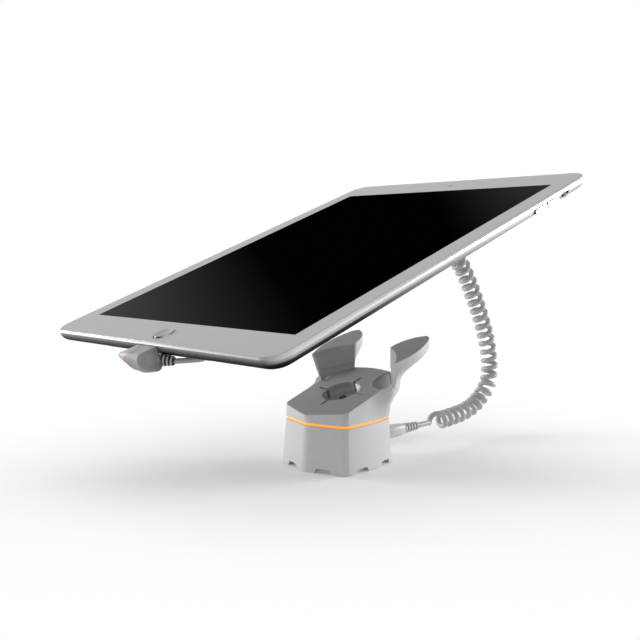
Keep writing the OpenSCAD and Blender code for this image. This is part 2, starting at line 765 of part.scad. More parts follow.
// Moulded connector: a long rounded grip that hangs off the tablet's lower edge
module connector_shape() {
    difference() {
        hull() {
            translate([0.5, edge_v - 0.8, -3.9]) scale([13, 1, 5.4]) sphere(d = 1, $fn = 24);
            translate([-2.4, edge_v - 4.2, -7.4]) scale([17.5, 7.4, 11.4]) sphere(d = 1, $fn = 32);
            translate([2.6, edge_v - 3.2, -8]) scale([9, 6, 8.6]) sphere(d = 1, $fn = 24);
            translate([-20.6, edge_v - 3.4, -7]) scale([2.6, 2.2, 2.8]) sphere(d = 1, $fn = 20);
        }
        translate([-50, edge_v - 0.3, -50]) cube([100, 60, 100]);
        translate([2.5, edge_v - 10.4, -8.2]) rotate([0, 8, 0]) scale([9.4, 3.4, 4]) sphere(r = 1, $fn = 32);
    }
}
module stripe_side(grow) {
    rotate([90, 0, 0]) translate([0, 0, -edge_v - 10]) linear_extrude(20) hull() {
        translate([-12.8, -7.8]) circle(r = 3.4 + grow, $fn = 32);
        translate([1, -5.6]) circle(r = 3.9 + grow, $fn = 32);
        translate([0, -13]) circle(r = 3.6 + grow, $fn = 32);
        translate([14, -8]) circle(r = 9 + grow, $fn = 32);
    }
}
module connector_body() {
    color([0.74, 0.74, 0.74]) on_tablet() intersection() {
        connector_shape();
        stripe_side(0);
    }
}
module connector_stripe() {
    color([1, 0.6, 0.25]) on_tablet() intersection() {
        connector_shape();
        difference() {
            stripe_side(0.9);
            stripe_side(0);
        }
    }
}
module connector_nose() {
    color([0.9, 0.9, 0.9]) on_tablet() difference() {
        connector_shape();
        stripe_side(0.9);
    }
}
module connector_tongue() {
    color([0.75, 0.75, 0.77]) on_tablet() translate([0, edge_v - 0.3, port_w]) bar(8.4, 2.6, 1.1, 6.6);
}

// Rounded slab of the tablet outline, w0 to w1
module sheet(w, l, r, w0, w1) {
    translate([0, 0, w0]) union() {
        translate([r - w / 2, -l / 2, 0]) cube([w - 2 * r, l, w1 - w0]);
        translate([-w / 2, r - l / 2, 0]) cube([w, l - 2 * r, w1 - w0]);
        for (x = [-1, 1]) for (y = [-1, 1]) translate([x * (w / 2 - r), y * (l / 2 - r), 0])
            cylinder(r = r, h = w1 - w0);
    }
}
module shell_solid() {
    hull() for (x = [-1, 1]) for (y = [-1, 1])
        translate([x * (tab_w / 2 - tab_r), y * (tab_l / 2 - tab_r), 0]) {
            translate([0, 0, -1.4]) cylinder(r = tab_r, h = 0.9);
            translate([0, 0, -0.5]) cylinder(r1 = tab_r, r2 = tab_r - 0.5, h = 0.45);
            for (a = [15 : 15 : 90]) translate([0, 0, edge_r - tab_t - edge_r * sin(a)])
                cylinder(r1 = tab_r - edge_r + edge_r * cos(a), r2 = tab_r - edge_r + edge_r * cos(a - 15),
                    h = edge_r * (sin(a) - sin(a - 15)));
        }
}
glass_w = tab_w - 2 * rim_w;
glass_l = tab_l - 2 * rim_w;
home_v = 10 - tab_l / 2;
camera_v = tab_l / 2 - 11.7;
vol_l = 11;
vol_h = 2.4;
vol_up_v = tab_l / 2 - 40.3;
vol_down_v = vol_up_v - vol_l - 0.8;
mute_slot = 7;
mute_l = 3.6;
mute_v = vol_up_v + vol_l / 2 + 4.4 + mute_slot / 2;
power_l = 11;
power_x = tab_w / 2 - 11.25 - power_l / 2;
lens_x = 14.75 - tab_w / 2;
lens_v = tab_l / 2 - 14;
module slot_x(v, l, h, x0, x1) {
    translate([x0, v, button_w]) rotate([0, 0, -90]) bar(l, h, h / 2 - 0.05, x1 - x0);
}
module tablet_shell() {
    color([0.78, 0.78, 0.79]) on_tablet() difference() {
        shell_solid();
        sheet(glass_w + 0.1, glass_l + 0.1, tab_r - rim_w, -glass_t, 5);
        sheet(tab_w - 2 * inner_wall, tab_l - 2 * inner_wall, tab_r - inner_wall, -floor_w, 1);
        slot_x(vol_up_v, vol_l + 0.3, vol_h + 0.3, tab_w / 2 - 6, tab_w / 2 + 3);
        slot_x(vol_down_v, vol_l + 0.3, vol_h + 0.3, tab_w / 2 - 6, tab_w / 2 + 3);
        slot_x(mute_v, mute_slot, vol_h, tab_w / 2 - 6, tab_w / 2 + 3);
        translate([power_x, tab_l / 2 - 6, button_w]) bar(power_l + 0.3, vol_h + 0.3, 1.2, 9);
        translate([0, -tab_l / 2 - 3, port_w]) bar(10, 4.2, 1.8, 9);
        both_sides() translate([grille_x, -tab_l / 2 - 3, button_w]) bar(grille_l, 2, 0.9, 9);
        translate([lens_x, lens_v, -tab_t - 1]) cylinder(r = 4.2, h = 4);
    }
}
module front_glass() {
    color([0.7, 0.7, 0.71]) on_tablet() difference() {
        sheet(glass_w, glass_l, tab_r - rim_w - 0.05, -glass_t, 0);
        translate([-screen_w / 2, -screen_l / 2, -5]) cube([screen_w, screen_l, 10]);
        translate([0, home_v, -5]) cylinder(r = home_r + fit, h = 10);
        translate([0, camera_v, -5]) cylinder(r = 1.4, h = 10);
    }
}
module display_panel() {
    color([0.03, 0.03, 0.035]) on_tablet() translate([-screen_w / 2, -screen_l / 2, -2.2])
        cube([screen_w, screen_l, 2.2]);
}
home_travel = 0.4;
module home_button() {
    color([0.72, 0.72, 0.73]) on_tablet() difference() {
        translate([0, home_v, -1.2]) cylinder(r = home_r, h = 1.1);
        translate([0, home_v, 9]) sphere(r = 9.45, $fn = 96);
    }
}
module front_camera() {
    color([0.1, 0.1, 0.12]) on_tablet() translate([0, camera_v, -2]) cylinder(r = 1.35, h = 1.95);
}
module volume_up() {
    color([0.8, 0.8, 0.81]) on_tablet() slot_x(vol_up_v, vol_l, vol_h, tab_w / 2 - 3.2, tab_w / 2 + 0.5);
}
module volume_down() {
    color([0.8, 0.8, 0.81]) on_tablet()
        slot_x(vol_down_v, vol_l, vol_h, tab_w / 2 - 3.2, tab_w / 2 + 0.5);
}
module mute_switch() {
    color([0.6, 0.6, 0.61]) on_tablet() translate([0, mute_l / 2 + 0.2 - mute_slot / 2, 0])
        slot_x(mute_v, mute_l, vol_h - 0.4, tab_w / 2 - 3.2, tab_w / 2 + 0.3);
}
module power_button() {
    color([0.8, 0.8, 0.81]) on_tablet() translate([power_x, tab_l / 2 - 3.2, button_w])
        bar(power_l, vol_h, 1.15, 3.7);
}
module rear_camera() {
    color([0.1, 0.1, 0.12]) on_tablet() translate([lens_x, lens_v, -tab_t]) difference() {
        cylinder(r = 4.1, h = 3);
        translate([0, 0, -1]) cylinder(r = 2, h = 1.3);
    }
}
module speaker_grilles() {
    color([0.2, 0.2, 0.2]) on_tablet() both_sides() translate([grille_x, -tab_l / 2 + 0.9, button_w])
        bar(grille_l - 0.1, 1.9, 0.9, 1.4);
}
module speaker_boxes() {
    color([0.15, 0.15, 0.16]) on_tablet() both_sides()
        translate([grille_x - 14, -tab_l / 2 + 3.6, -floor_w]) cube([28, 9, 4.2]);
}
module charge_port() {
    color([0.5, 0.5, 0.52]) on_tablet() translate([0, -tab_l / 2 + 1.7, port_w]) difference() {
        bar(9.9, 4.1, 1.75, 8.4);
        translate([0, -1, 0]) bar(9.1, 3.3, 1.4, 8.4);
    }
}
inner_wall = 3.5;
cell_gap = 2;
cell_t = 3.4;
cell_w = tab_w / 2 - inner_wall - 6 - 1.5 * cell_gap;
cell_l = tab_l / 3 * 2;
cell_v = 30 - tab_l / 2;
board_l = 24;
chip_l = 14;
module tablet_battery() {
    color([0.2, 0.2, 0.22]) on_tablet() for (x = [-cell_w - cell_gap / 2, cell_gap / 2])
        translate([x, cell_v, -floor_w]) cube([cell_w, cell_l, cell_t]);
}
module logic_board() {
    at_v = cell_v + cell_l + 3 * cell_gap;
    color([0.1, 0.4, 0.25]) on_tablet() {
        translate([lens_x + 10, at_v, -floor_w]) cube([tab_w * 0.8, board_l, 1]);
        for (k = [0 : 3]) translate([lens_x + 20 + k * 2 * chip_l, at_v + 4, 1 - floor_w])
            cube([chip_l, chip_l, 1.5]);
    }
}

lower_housing();
adhesive_foam();
base_plate();
plate_screws();
housing_screws();
light_band();
led_strip();
upper_housing();
top_panel();
arm_pad_left();
arm_pad_right();
dock_cup();
contact_block();
contact_pins();
guide_key();
dock_magnet();
sense_plunger();
plunger_spring();
sense_switch();
main_board();
backup_battery();
alarm_buzzer();
cord_jack();
cord_plug();
cord_boot();
curly_cord();
puck_boot();
puck_cap();
puck_flange();
puck_foam();
puck_board();
puck_keeper();
charge_lead();
lead_boot();
connector_body();
connector_stripe();
connector_nose();
connector_tongue();
tablet_shell();
front_glass();
display_panel();
home_button();
front_camera();
volume_up();
volume_down();
mute_switch();
power_button();
rear_camera();
speaker_grilles();
speaker_boxes();
charge_port();
tablet_battery();
logic_board();
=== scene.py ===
"""Looks of the tablet display stand: a base with a glowing band and forked arms, a tablet on a
puck, a curly tether cord and a charging lead. Lengths are written in millimetres and scaled."""

from math import acos, cos, dist, pi, radians, sin, sqrt, tan

import bmesh
import bpy
from mathutils import Matrix, Vector


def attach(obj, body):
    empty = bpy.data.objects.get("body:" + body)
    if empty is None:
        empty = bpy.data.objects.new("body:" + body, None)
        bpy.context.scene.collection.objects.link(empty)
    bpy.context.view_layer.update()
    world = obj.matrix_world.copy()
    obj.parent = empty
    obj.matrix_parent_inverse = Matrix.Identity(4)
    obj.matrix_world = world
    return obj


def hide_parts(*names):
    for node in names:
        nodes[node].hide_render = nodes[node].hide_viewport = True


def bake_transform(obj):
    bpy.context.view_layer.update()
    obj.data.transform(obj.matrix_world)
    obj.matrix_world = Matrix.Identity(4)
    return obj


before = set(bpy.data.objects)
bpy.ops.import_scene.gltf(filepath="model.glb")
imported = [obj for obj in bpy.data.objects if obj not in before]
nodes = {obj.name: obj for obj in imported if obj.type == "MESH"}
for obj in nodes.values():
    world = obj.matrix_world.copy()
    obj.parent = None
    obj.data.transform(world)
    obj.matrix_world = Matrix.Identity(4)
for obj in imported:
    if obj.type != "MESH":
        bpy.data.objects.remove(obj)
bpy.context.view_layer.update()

MM = 0.001

# Driving sizes, as in the part's source
TILT = radians(20)
RAMP = tan(TILT)
PLANE_UP = 1 / cos(TILT)
DOCK_Z = 38.54
LOWER_H, BAND_H = 23.4, 1.6
FRONT_Y = 26.3
CORNER = (21.2, -20.4)
SIDE_X = 22.4
REAR = (16.3, 20.2)
BACK_Y = 29.4
FLARE = 1.065
WALL = 2
ARM_H = 12.9
ARM_FACE = 26.6
ARM_SUM = ARM_FACE * sqrt(2)
PANEL_T, PANEL_LIP = 3.2, 0.4
CUP_R = 10.6
SLOT_R, SLOT_W = 16.5, 1.8
SCOOP_R, SCOOP_D, SCOOP_IN, SCOOP_END = 4.3, 2.2, 2.3, 10.54
BEVEL_R = 33
PAD_T = 1.2
PUCK_R, FLANGE_R = 24, 29
CAP_W, CAP_H = 0.6, 6.4
TAPE_T = 1
DOCK_GAP = 0.3
LIFT = 53.6
TAB_W, TAB_L, TAB_T, TAB_R = 169.5, 240, 7.5, 10
EDGE_R = 5.5
GLASS_T = 0.9
SCREEN_W, SCREEN_L = 147.8, 197.1
SHIFT = 17.7
CORD_Z = 10.9
PLUG_Y = BACK_Y * 1.036
PLUG_LEN, BOOT_LEN = 20, 13.4
STRAND_D, CURL_R, CURLS = 3.1, 4, 36
LEAD_D = 2.4

PUCK_TOP = ARM_H + DOCK_GAP
CAP_TOP = CAP_W + CAP_H
FLANGE_TOP = PUCK_TOP - TAPE_T
BAND_TOP = LOWER_H + BAND_H
PANEL_DROP = PANEL_T * PLANE_UP


def moved(x, y, z=0.0):
    return Matrix.Translation((x, y, z))


def turned(degrees, axis):
    return Matrix.Rotation(radians(degrees), 4, axis)


DOCK = moved(0, 0, DOCK_Z) @ Matrix.Rotation(TILT, 4, "X")
PUCK = DOCK @ moved(0, 0, LIFT)
TABLET = DOCK @ moved(0, SHIFT, PUCK_TOP + TAB_T + LIFT)

SCENE = bpy.context.scene


def make_camera():
    data = bpy.data.cameras.new("camera")
    data.lens = 50
    data.sensor_width = 36
    data.clip_start = 0.01
    camera = bpy.data.objects.new("camera", data)
    right = Vector((0.69827, 0.71583, 0.0))
    ahead = Vector((-0.7135, 0.6960, -0.0807)).normalized()
    up = right.cross(ahead).normalized()
    turn = Matrix((right, up, -ahead)).transposed().to_4x4()
    camera.matrix_world = Matrix.Translation(Vector((328.55, -336.24, 114.56)) * MM) @ turn
    SCENE.collection.objects.link(camera)
    SCENE.camera = camera


make_camera()


# Mesh helpers
def as_object(name, bm):
    mesh = bpy.data.meshes.new(name)
    bm.to_mesh(mesh)
    bm.free()
    obj = bpy.data.objects.new(name, mesh)
    SCENE.collection.objects.link(obj)
    return obj


def closed(name, bm):
    bmesh.ops.recalc_face_normals(bm, faces=bm.faces)
    return as_object(name, bm)


def round_points(radius, count):
    """Points evenly round a circle."""
    angles = [2 * pi * k / count for k in range(count)]
    return [(radius * cos(a), radius * sin(a)) for a in angles]


def skin(bm, low, high):
    """Faces between two closed rows of vertices; a row of one vertex is the tip of a fan."""
    count = max(len(low), len(high))
    for i in range(count if len(low) + len(high) > 2 else 0):
        j = (i + 1) % count
        if len(low) == 1:
            bm.faces.new((low[0], high[i], high[j]))
        elif len(high) == 1:
            bm.faces.new((low[i], low[j], high[0]))
        else:
            bm.faces.new((low[i], low[j], high[j], high[i]))


def loft(name, rings, ring_closed=False):
    """Skin over rings that all have the same number of points."""
    bm = bmesh.new()
    rows = [[bm.verts.new(Vector(p)) for p in ring] for ring in rings]
    for low, high in zip(rows, rows[1:] + rows[:1] if ring_closed else rows[1:]):
        skin(bm, low, high)
    if not ring_closed:
        bm.faces.new(rows[0][::-1])
        bm.faces.new(rows[-1])
    return closed(name, bm)


def hull(name, points):
    bm = bmesh.new()
    for p in points:
        bm.verts.new(Vector(p))
    made = bmesh.ops.convex_hull(bm, input=bm.verts, use_existing_faces=False)
    extra = {g for g in made["geom_interior"] + made["geom_unused"] if isinstance(g, bmesh.types.BMVert)}
    bmesh.ops.delete(bm, geom=list(extra), context="VERTS")
    bmesh.ops.dissolve_limit(bm, angle_limit=radians(0.4), verts=bm.verts, edges=bm.edges)
    return closed(name, bm)


def lathe(name, profile, place, sides=64):
    """Turns (radius, height) points about +Z; points with no radius close the ends."""
    bm = bmesh.new()
    rows = []
    for r, z in profile:
        ring = round_points(r, sides) if r > 1e-6 else [(0, 0)]
        rows.append([bm.verts.new(place @ Vector((x, y, z))) for x, y in ring])
    for low, high in zip(rows, rows[1:]):
        skin(bm, low, high)
    return closed(name, bm)


def level(outline, z):
    return [(x, y, z) for x, y in outline]


def placed(points, place):
    return [place @ Vector(p) for p in points]


def prism(name, outline, place, low, high):
    """Plan outline lifted between two heights of its own frame."""
    return loft(name, [placed(level(outline, h), place) for h in (low, high)])


def slab(name, outline, z0, t):
    """Plan outline laid parallel to the dock surface, with upright sides."""
    return loft(name, [[(x, y, z0 + h + RAMP * y) for x, y in outline] for h in (0, t)])


def rod(name, radius, place, low, high, sides=64):
    return lathe(name, [(0, low), (radius, low), (radius, high), (0, high)], place, sides)


def baked(obj):
    """Applies the modifiers of an object."""
    graph = bpy.context.evaluated_depsgraph_get()
    mesh = bpy.data.meshes.new_from_object(obj.evaluated_get(graph))
    obj.modifiers.clear()
    obj.data = mesh
    return obj


def triangled(obj):
    bm = bmesh.new()
    bm.from_mesh(obj.data)
    bmesh.ops.triangulate(bm, faces=bm.faces)
    bm.to_mesh(obj.data)
    bm.free()
    return obj


def carve(obj, tools, how="DIFFERENCE", keep=False):
    for tool in tools:
        mod = obj.modifiers.new("carve", "BOOLEAN")
        mod.operation = how
        mod.solver = "MANIFOLD"
        mod.object = tool
    baked(obj)
    if not keep:
        for tool in tools:
            bpy.data.objects.remove(tool)
    return obj


def twin(obj, name, flip=False):
    other = obj.copy()
    other.data = obj.data.copy()
    other.name = name
    SCENE.collection.objects.link(other)
    if flip:
        other.data.transform(Matrix.Scale(-1, 4, (1, 0, 0)))
        other.data.flip_normals()
    return other


def finished(obj, body, surface, node, bevel=0.0, sections=2, limit=40, sharp=32, ride=True):
    """Softens the edges, scales to metres, shades, colours and attaches a piece."""
    obj.name = "shown_" + obj.name.replace(" ", "_")
    bm = bmesh.new()
    bm.from_mesh(obj.data)
    bmesh.ops.remove_doubles(bm, verts=bm.verts, dist=0.002)
    bmesh.ops.dissolve_degenerate(bm, edges=bm.edges, dist=0.001)
    bm.to_mesh(obj.data)
    bm.free()
    if bevel:
        mod = obj.modifiers.new("edge", "BEVEL")
        mod.width = bevel
        mod.segments = sections
        mod.limit_method = "ANGLE"
        mod.angle_limit = radians(limit)
        mod.miter_outer = "MITER_ARC"
        baked(obj)
    obj.data.transform(Matrix.Scale(MM, 4))
    obj.data.materials.clear()
    obj.data.materials.append(surface)
    for face in obj.data.polygons:
        face.use_smooth = True
        face.material_index = 0
    obj.data.set_sharp_from_angle(angle=radians(sharp))
    if bevel:
        mod = obj.modifiers.new("normals", "WEIGHTED_NORMAL")
        mod.keep_sharp = True
        mod.weight = 80
    if ride:
        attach(obj, body)
    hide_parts(node)
    return obj


def between(a, b, t):
    return a + (b - a) * t


def bow(a, b, sag, n):
    """Points along a shallow bow from a to b that bulges to the right."""
    dx, dy = b[0] - a[0], b[1] - a[1]
    out = []
    for i in range(n + 1):
        t = i / n
        push = 4 * sag * t * (1 - t) / dist(a, b)
        out.append((a[0] + dx * t + dy * push, a[1] + dy * t - dx * push))
    return out


def reach_along(points):
    """How far each point lies along a line."""
    reach = [0.0]
    for a, b in zip(points, points[1:]):
        reach.append(reach[-1] + dist(a, b))
    return reach


def on_line(points, reach, s):
    """The point at a distance along a line."""
    k = next(i for i in range(1, len(reach)) if reach[i] >= s or i == len(reach) - 1)
    t = (s - reach[k - 1]) / (reach[k] - reach[k - 1])
    return tuple(between(a, b, t) for a, b in zip(points[k - 1], points[k]))


def mirrored(points):
    return [(-x, y) for x, y in points[:0:-1]]


def inset(outline, depth):
    """Moves every side of a counter-clockwise outline inwards."""
    out = []
    for before, here, after in zip(outline[-1:] + outline[:-1], outline, outline[1:] + outline[:1]):
        p, q, r = Vector(before), Vector(here), Vector(after)
        a, b = (q - p).normalized(), (r - q).normalized()
        na, nb = Vector((-a.y, a.x)), Vector((-b.y, b.x))
        k = (na + nb).normalized()
        out.append(tuple(q + k * depth / max(k.dot(na), 0.3)))
    return out


def scaled(outline, k):
    return [(x * k, y * k) for x, y in outline]


def rounded_rect(w, h, r, n=6):
    out = []
    for cx, cy, start in ((w / 2 - r, h / 2 - r, 0), (r - w / 2, h / 2 - r, 90),
                          (r - w / 2, r - h / 2, 180), (w / 2 - r, r - h / 2, 270)):
        angles = [radians(start + 90 * k / n) for k in range(n + 1)]
        out += [(cx + r * cos(a), cy + r * sin(a)) for a in angles]
    return out


# Node helpers
def feed(tree, node, inputs):
    """Sets inputs of a node, each to a plain value or to the output that drives it."""
    for name, value in inputs.items():
        if isinstance(value, bpy.types.NodeSocket):
            tree.links.new(value, node.inputs[name])
        else:
            node.inputs[name].default_value = value


def add(tree, kind, inputs=None, **settings):
    node = tree.nodes.new("ShaderNode" + kind)
    for name, value in settings.items():
        setattr(node, name, value)
    feed(tree, node, inputs or {})
    return node


def opaque(value):
    """A full colour from a grey level or from red, green and blue."""
    return (value, value, value, 1) if isinstance(value, (int, float)) else (*value, 1)


def mixed_shader(tree, fac, one, two, output):
    """Mixes two shaders into the output of a material or a world."""
    mix = add(tree, "MixShader", {"Fac": fac, 1: one, 2: two})
    add(tree, output, {"Surface": mix.outputs["Shader"]})


class Finish:
    """A moulded or metal finish: fine grain, slow shade drift and roughness that varies. Its
    methods add to its nodes."""

    def __init__(self, name, colour, rough, metal=0.0, spread=0.05, grain=700.0, bump=0.03, coat=0.0,
                 specular=0.5, rough_spread=0.06, wide=45.0, soft=0.0):
        self.mat = bpy.data.materials.new(name)
        self.mat.use_nodes = True
        self.tree = self.mat.node_tree
        self.shader = self.tree.nodes["Principled BSDF"]
        self.give({"Metallic": metal, "Specular IOR Level": specular, "Coat Weight": coat,
                   "Coat Roughness": 0.12})
        self.where = self.add("TexCoord")
        drift = self.noise(wide, 3)
        self.tone = self.ramp(drift, [(0.3, [c * (1 - spread) for c in colour]),
                                      (0.7, [min(c * (1 + spread), 1) for c in colour])])
        fine = self.noise(grain, 4)
        gloss = self.add("MapRange", {"Value": fine, "To Min": max(rough - rough_spread, 0.02),
                                      "To Max": min(rough + rough_spread, 1)})
        relief = self.add("Bump", {"Strength": bump, "Distance": 0.0006, "Height": fine})
        if soft:
            corner = self.add("Bevel", {"Radius": soft}, samples=6)
            feed(self.tree, relief, {"Normal": corner.outputs["Normal"]})
        self.give({"Base Color": self.tone, "Roughness": gloss.outputs["Result"],
                   "Normal": relief.outputs["Normal"]})

    def add(self, kind, inputs=None, **settings):
        return add(self.tree, kind, inputs, **settings)

    def give(self, inputs):
        feed(self.tree, self.shader, inputs)

    def noise(self, scale, detail):
        return self.add("TexNoise", {"Vector": self.where.outputs["Object"], "Scale": scale,
                                     "Detail": detail}).outputs["Fac"]

    def span(self, value, low, high):
        """A value spread over 0 to 1."""
        return self.add("MapRange", {"Value": value, "From Min": low, "From Max": high}).outputs["Result"]

    def maths(self, kind, value, number=0):
        return self.add("Math", {0: value, 1: number}, operation=kind).outputs["Value"]

    def distance(self, kind, source, point):
        """Position or facing, measured along a direction or from a point."""
        return self.add("VectorMath", {0: self.where.outputs[source], 1: point}, operation=kind).outputs["Value"]

    def along(self, source, axis, low, high):
        return self.span(self.distance("DOT_PRODUCT", source, axis), low, high)

    def tablet_span(self, axis, low, high):
        """Position along an axis of the tablet, in millimetres, spread over 0 to 1."""
        axis = TABLET.to_3x3() @ Vector(axis)
        start = TABLET.translation.dot(axis)
        return self.along("Object", axis, (start + low) * MM, (start + high) * MM)

    def ramp(self, fac, stops, kind="LINEAR"):
        """A shade for each place from 0 to 1, from at least two stops."""
        node = self.add("ValToRGB", {"Fac": fac})
        line = node.color_ramp
        line.interpolation = kind
        for element, (place, value) in zip(line.elements, (stops[0], stops[-1])):
            element.position = place
            element.color = opaque(value)
        for place, value in stops[1:-1]:
            line.elements.new(place).color = opaque(value)
        return node.outputs["Color"]

    def mixed(self, kind, fac, one, two):
        node = self.add("Mix", data_type="RGBA", blend_type=kind)
        feed(self.tree, node, {0: fac, 6: one, 7: two})
        return node.outputs[2]

    def coloured(self, colour):
        self.give({"Base Color": colour})
        return self.mat

    def tinted(self, shade):
        """Multiplies the colour of the finish."""
        return self.coloured(self.mixed("MULTIPLY", 1, self.tone, shade))


def surface(*values, **options):
    return Finish(*values, **options).mat


def grey(v):
    return (v, v, v * 1.012)


HOUSING = surface("housing", grey(0.565), 0.42, bump=0.05, spread=0.02, specular=0.4)
PAD = surface("grip pad", grey(0.35), 0.55, bump=0.06, spread=0.04, specular=0.35)
CUP = surface("dock cup", grey(0.50), 0.5, bump=0.05, soft=0.0003)
BLOCK = surface("contact block", grey(0.36), 0.45, soft=0.0002)
KEY = surface("guide key", grey(0.95), 0.45, soft=0.0003)
DARK = surface("dark plastic", grey(0.03), 0.5, soft=0.0002)
CORD = surface("cord jacket", grey(0.44), 0.38, bump=0.08, grain=1400, specular=0.45)
PLUG = surface("cord plug", grey(0.52), 0.42, bump=0.04, spread=0.03)
WHITE = surface("white plastic", grey(0.80), 0.32, bump=0.02, spread=0.02)
NOSE = surface("connector nose", grey(0.42), 0.5, bump=0.02, spread=0.02, specular=0.25)
BEZEL = surface("bezel glass", grey(0.46), 0.16, bump=0.0, spread=0.015, coat=0.25, specular=0.35,
                rough_spread=0.03)
LENS = surface("lens", (0.012, 0.012, 0.02), 0.08, bump=0.0, coat=0.6)
STEEL = surface("steel", grey(0.55), 0.35, metal=1.0, bump=0.06, grain=1800, soft=0.0002)
GOLD = surface("contact gold", (0.85, 0.62, 0.25), 0.28, metal=1.0, soft=0.0001)
FOAM = surface("foam tape", grey(0.03), 0.9, bump=0.5, grain=1500, spread=0.3, rough_spread=0.1)
PALE_FOAM = surface("foam pad", grey(0.85), 0.9, bump=0.4, grain=1500, rough_spread=0.1)
BOARD = surface("circuit board", (0.03, 0.16, 0.07), 0.4, spread=0.25, wide=260, soft=0.0002)
CELL = surface("battery film", (0.09, 0.16, 0.42), 0.3, bump=0.1, grain=300, spread=0.1)


def ribbed_surface(root, tip, ribs):
    """Boot plastic with painted shade in the grooves between the ribs from root to tip."""
    make = Finish("ribbed boot", grey(0.46), 0.42, bump=0.04, spread=0.03)
    root, tip = Vector(root), Vector(tip)
    axis = (tip - root).normalized()
    place = make.distance("DOT_PRODUCT", "Object", axis)
    steps = make.maths("DIVIDE", make.maths("SUBTRACT", place, root.dot(axis) * MM), (tip - root).length / ribs * MM)
    # Painted shade: near black in each groove, the plastic's grey on each rib.
    return make.coloured(make.ramp(make.maths("FRACT", steps), [(0.56, (0.46, 0.46, 0.466)), (0.64, 0.02)]))


def metal_surface():
    """Blasted aluminium with painted light on its rounded edge: a painted bright sheen along its sides and painted
    shade where it turns under the tablet, more so along the front."""
    make = Finish("tablet metal", grey(0.97), 0.32, metal=0.45, grain=2600, spread=0.02)
    up = make.along("Normal", (0, -sin(TILT), cos(TILT)), -1, 1)
    turns = (0.10, 0.28, 0.42, 0.55, 0.68, 0.84)
    # Painted sheen and shade along the sides, set by facing, near the front and toward the rear.
    near = make.ramp(up, list(zip(turns, (0.004, 0.03, 0.48, 1.0, 0.50, 1.0))), "EASE")
    far = make.ramp(up, list(zip(turns, (0.55, 0.74, 0.84, 0.80, 0.70, 0.78))), "EASE")
    side = make.mixed("MIX", make.tablet_span((0, 1, 0), -70, 60), near, far)
    # Painted shade along the front edge, darkest where it turns under.
    front = make.ramp(make.tablet_span((0, 0, 1), -7.5, 0),
                      [(0, 0.002), (0.34, 0.004), (0.50, 0.02), (0.62, 0.07), (0.72, 0.15), (0.82, 0.26),
                       (0.88, 0.36), (0.92, 0.40), (1, 0.36)])
    shade = make.mixed("MIX", make.along("Normal", (1, 0, 0), 0.25, 0.85), front, side)
    back = make.ramp(up, [(0.012, 1), (0.03, 0)])
    shade = make.mixed("MIX", back, shade, make.ramp(up, [(0, 0.2), (0.05, 0.24)]))
    # Metallic and specular weights follow the painted light, so the shaded parts reflect less.
    for name in ("Metallic", "Specular IOR Level"):
        make.give({name: make.maths("MULTIPLY", shade, 0.45)})
    return make.tinted(shade)


def screen_surface():
    """Black display glass with a faint wide painted reflection at its front left and rear right corners."""
    make = Finish("screen", (0.004, 0.004, 0.005), 0.14, bump=0.0, specular=0.04, rough_spread=0.02)
    make.give({"IOR": 1.001})
    corners = []
    # Painted reflection: a ramp from each corner, added into the colour.
    for lean, low, high, stops in (
            (0.66, -135, -30, [(0, 0.0513), (0.14, 0.041), (0.27, 0.032), (0.43, 0.0205), (0.59, 0.0115),
                               (0.75, 0.005), (0.90, 0.0009), (1, 0.0001)]),
            (1.1, 90, 162, [(0, 0.0003), (0.19, 0.003), (0.39, 0.0076), (0.60, 0.013), (0.79, 0.0205), (1, 0.027)])):
        corners.append(make.ramp(make.tablet_span((lean, 1, 0), low, high), stops))
    return make.coloured(make.mixed("ADD", 1, *corners))


def glow_surface():
    """Translucent orange band, lit from inside by lamps that leave slightly brighter spots, with a painted shadow line
    along its lower edge.
    """
    make = Finish("light band", (0.95, 0.40, 0.06), 0.4, bump=0.0, spread=0.03)
    glow = make.ramp(make.noise(60, 2), [(0.3, (0.92, 0.29, 0.035)), (0.7, (1.0, 0.38, 0.06))])
    # Painted shadow along the band's lower edge, darkening both its glow and its colour.
    shadow_line = make.ramp(make.along("Object", (0, 0, 1), LOWER_H * MM, BAND_TOP * MM), [(0.06, 0.12), (0.12, 1)])
    make.give({"Emission Color": make.mixed("MULTIPLY", 1, glow, shadow_line), "Emission Strength": 0.62})
    return make.tinted(shadow_line)


METAL = metal_surface()
SCREEN = screen_surface()
GLOW = glow_surface()


# Cords and the boots on their ends
def smooth(route, i, t):
    last = len(route) - 1
    a, b, c, d = (Vector(route[k]) for k in (max(i - 1, 0), i, min(i + 1, last), min(i + 2, last)))
    return 0.5 * (2 * b + (c - a) * t + (2 * a - 5 * b + 4 * c - d) * t * t + (3 * b - a - 3 * c + d) * t ** 3)


def smooth_line(route, steps):
    line = [smooth(route, i, j / steps) for i in range(len(route) - 1) for j in range(steps)]
    return line + [Vector(route[-1])]


def tube(name, path, diameter, sides):
    """A round tube along a path whose sections don't twist."""
    rings = []
    side = Vector((0, 0, 1))
    for before, p, after in zip(path[:1] + path, path, path[1:] + path[-1:]):
        t = (after - before).normalized()
        side = (side - t * side.dot(t)).normalized()
        other = t.cross(side)
        rings.append([p + x * side + y * other for x, y in round_points(diameter / 2, sides)])
    return loft(name, rings)


def cord(name, path, diameter, sides, bodies, node):
    """A round cord along a fixed path from one body to the other."""
    piece = finished(tube(name, path, diameter, sides), bodies[0], CORD, node, sharp=60, ride=False)
    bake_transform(piece)
    return piece


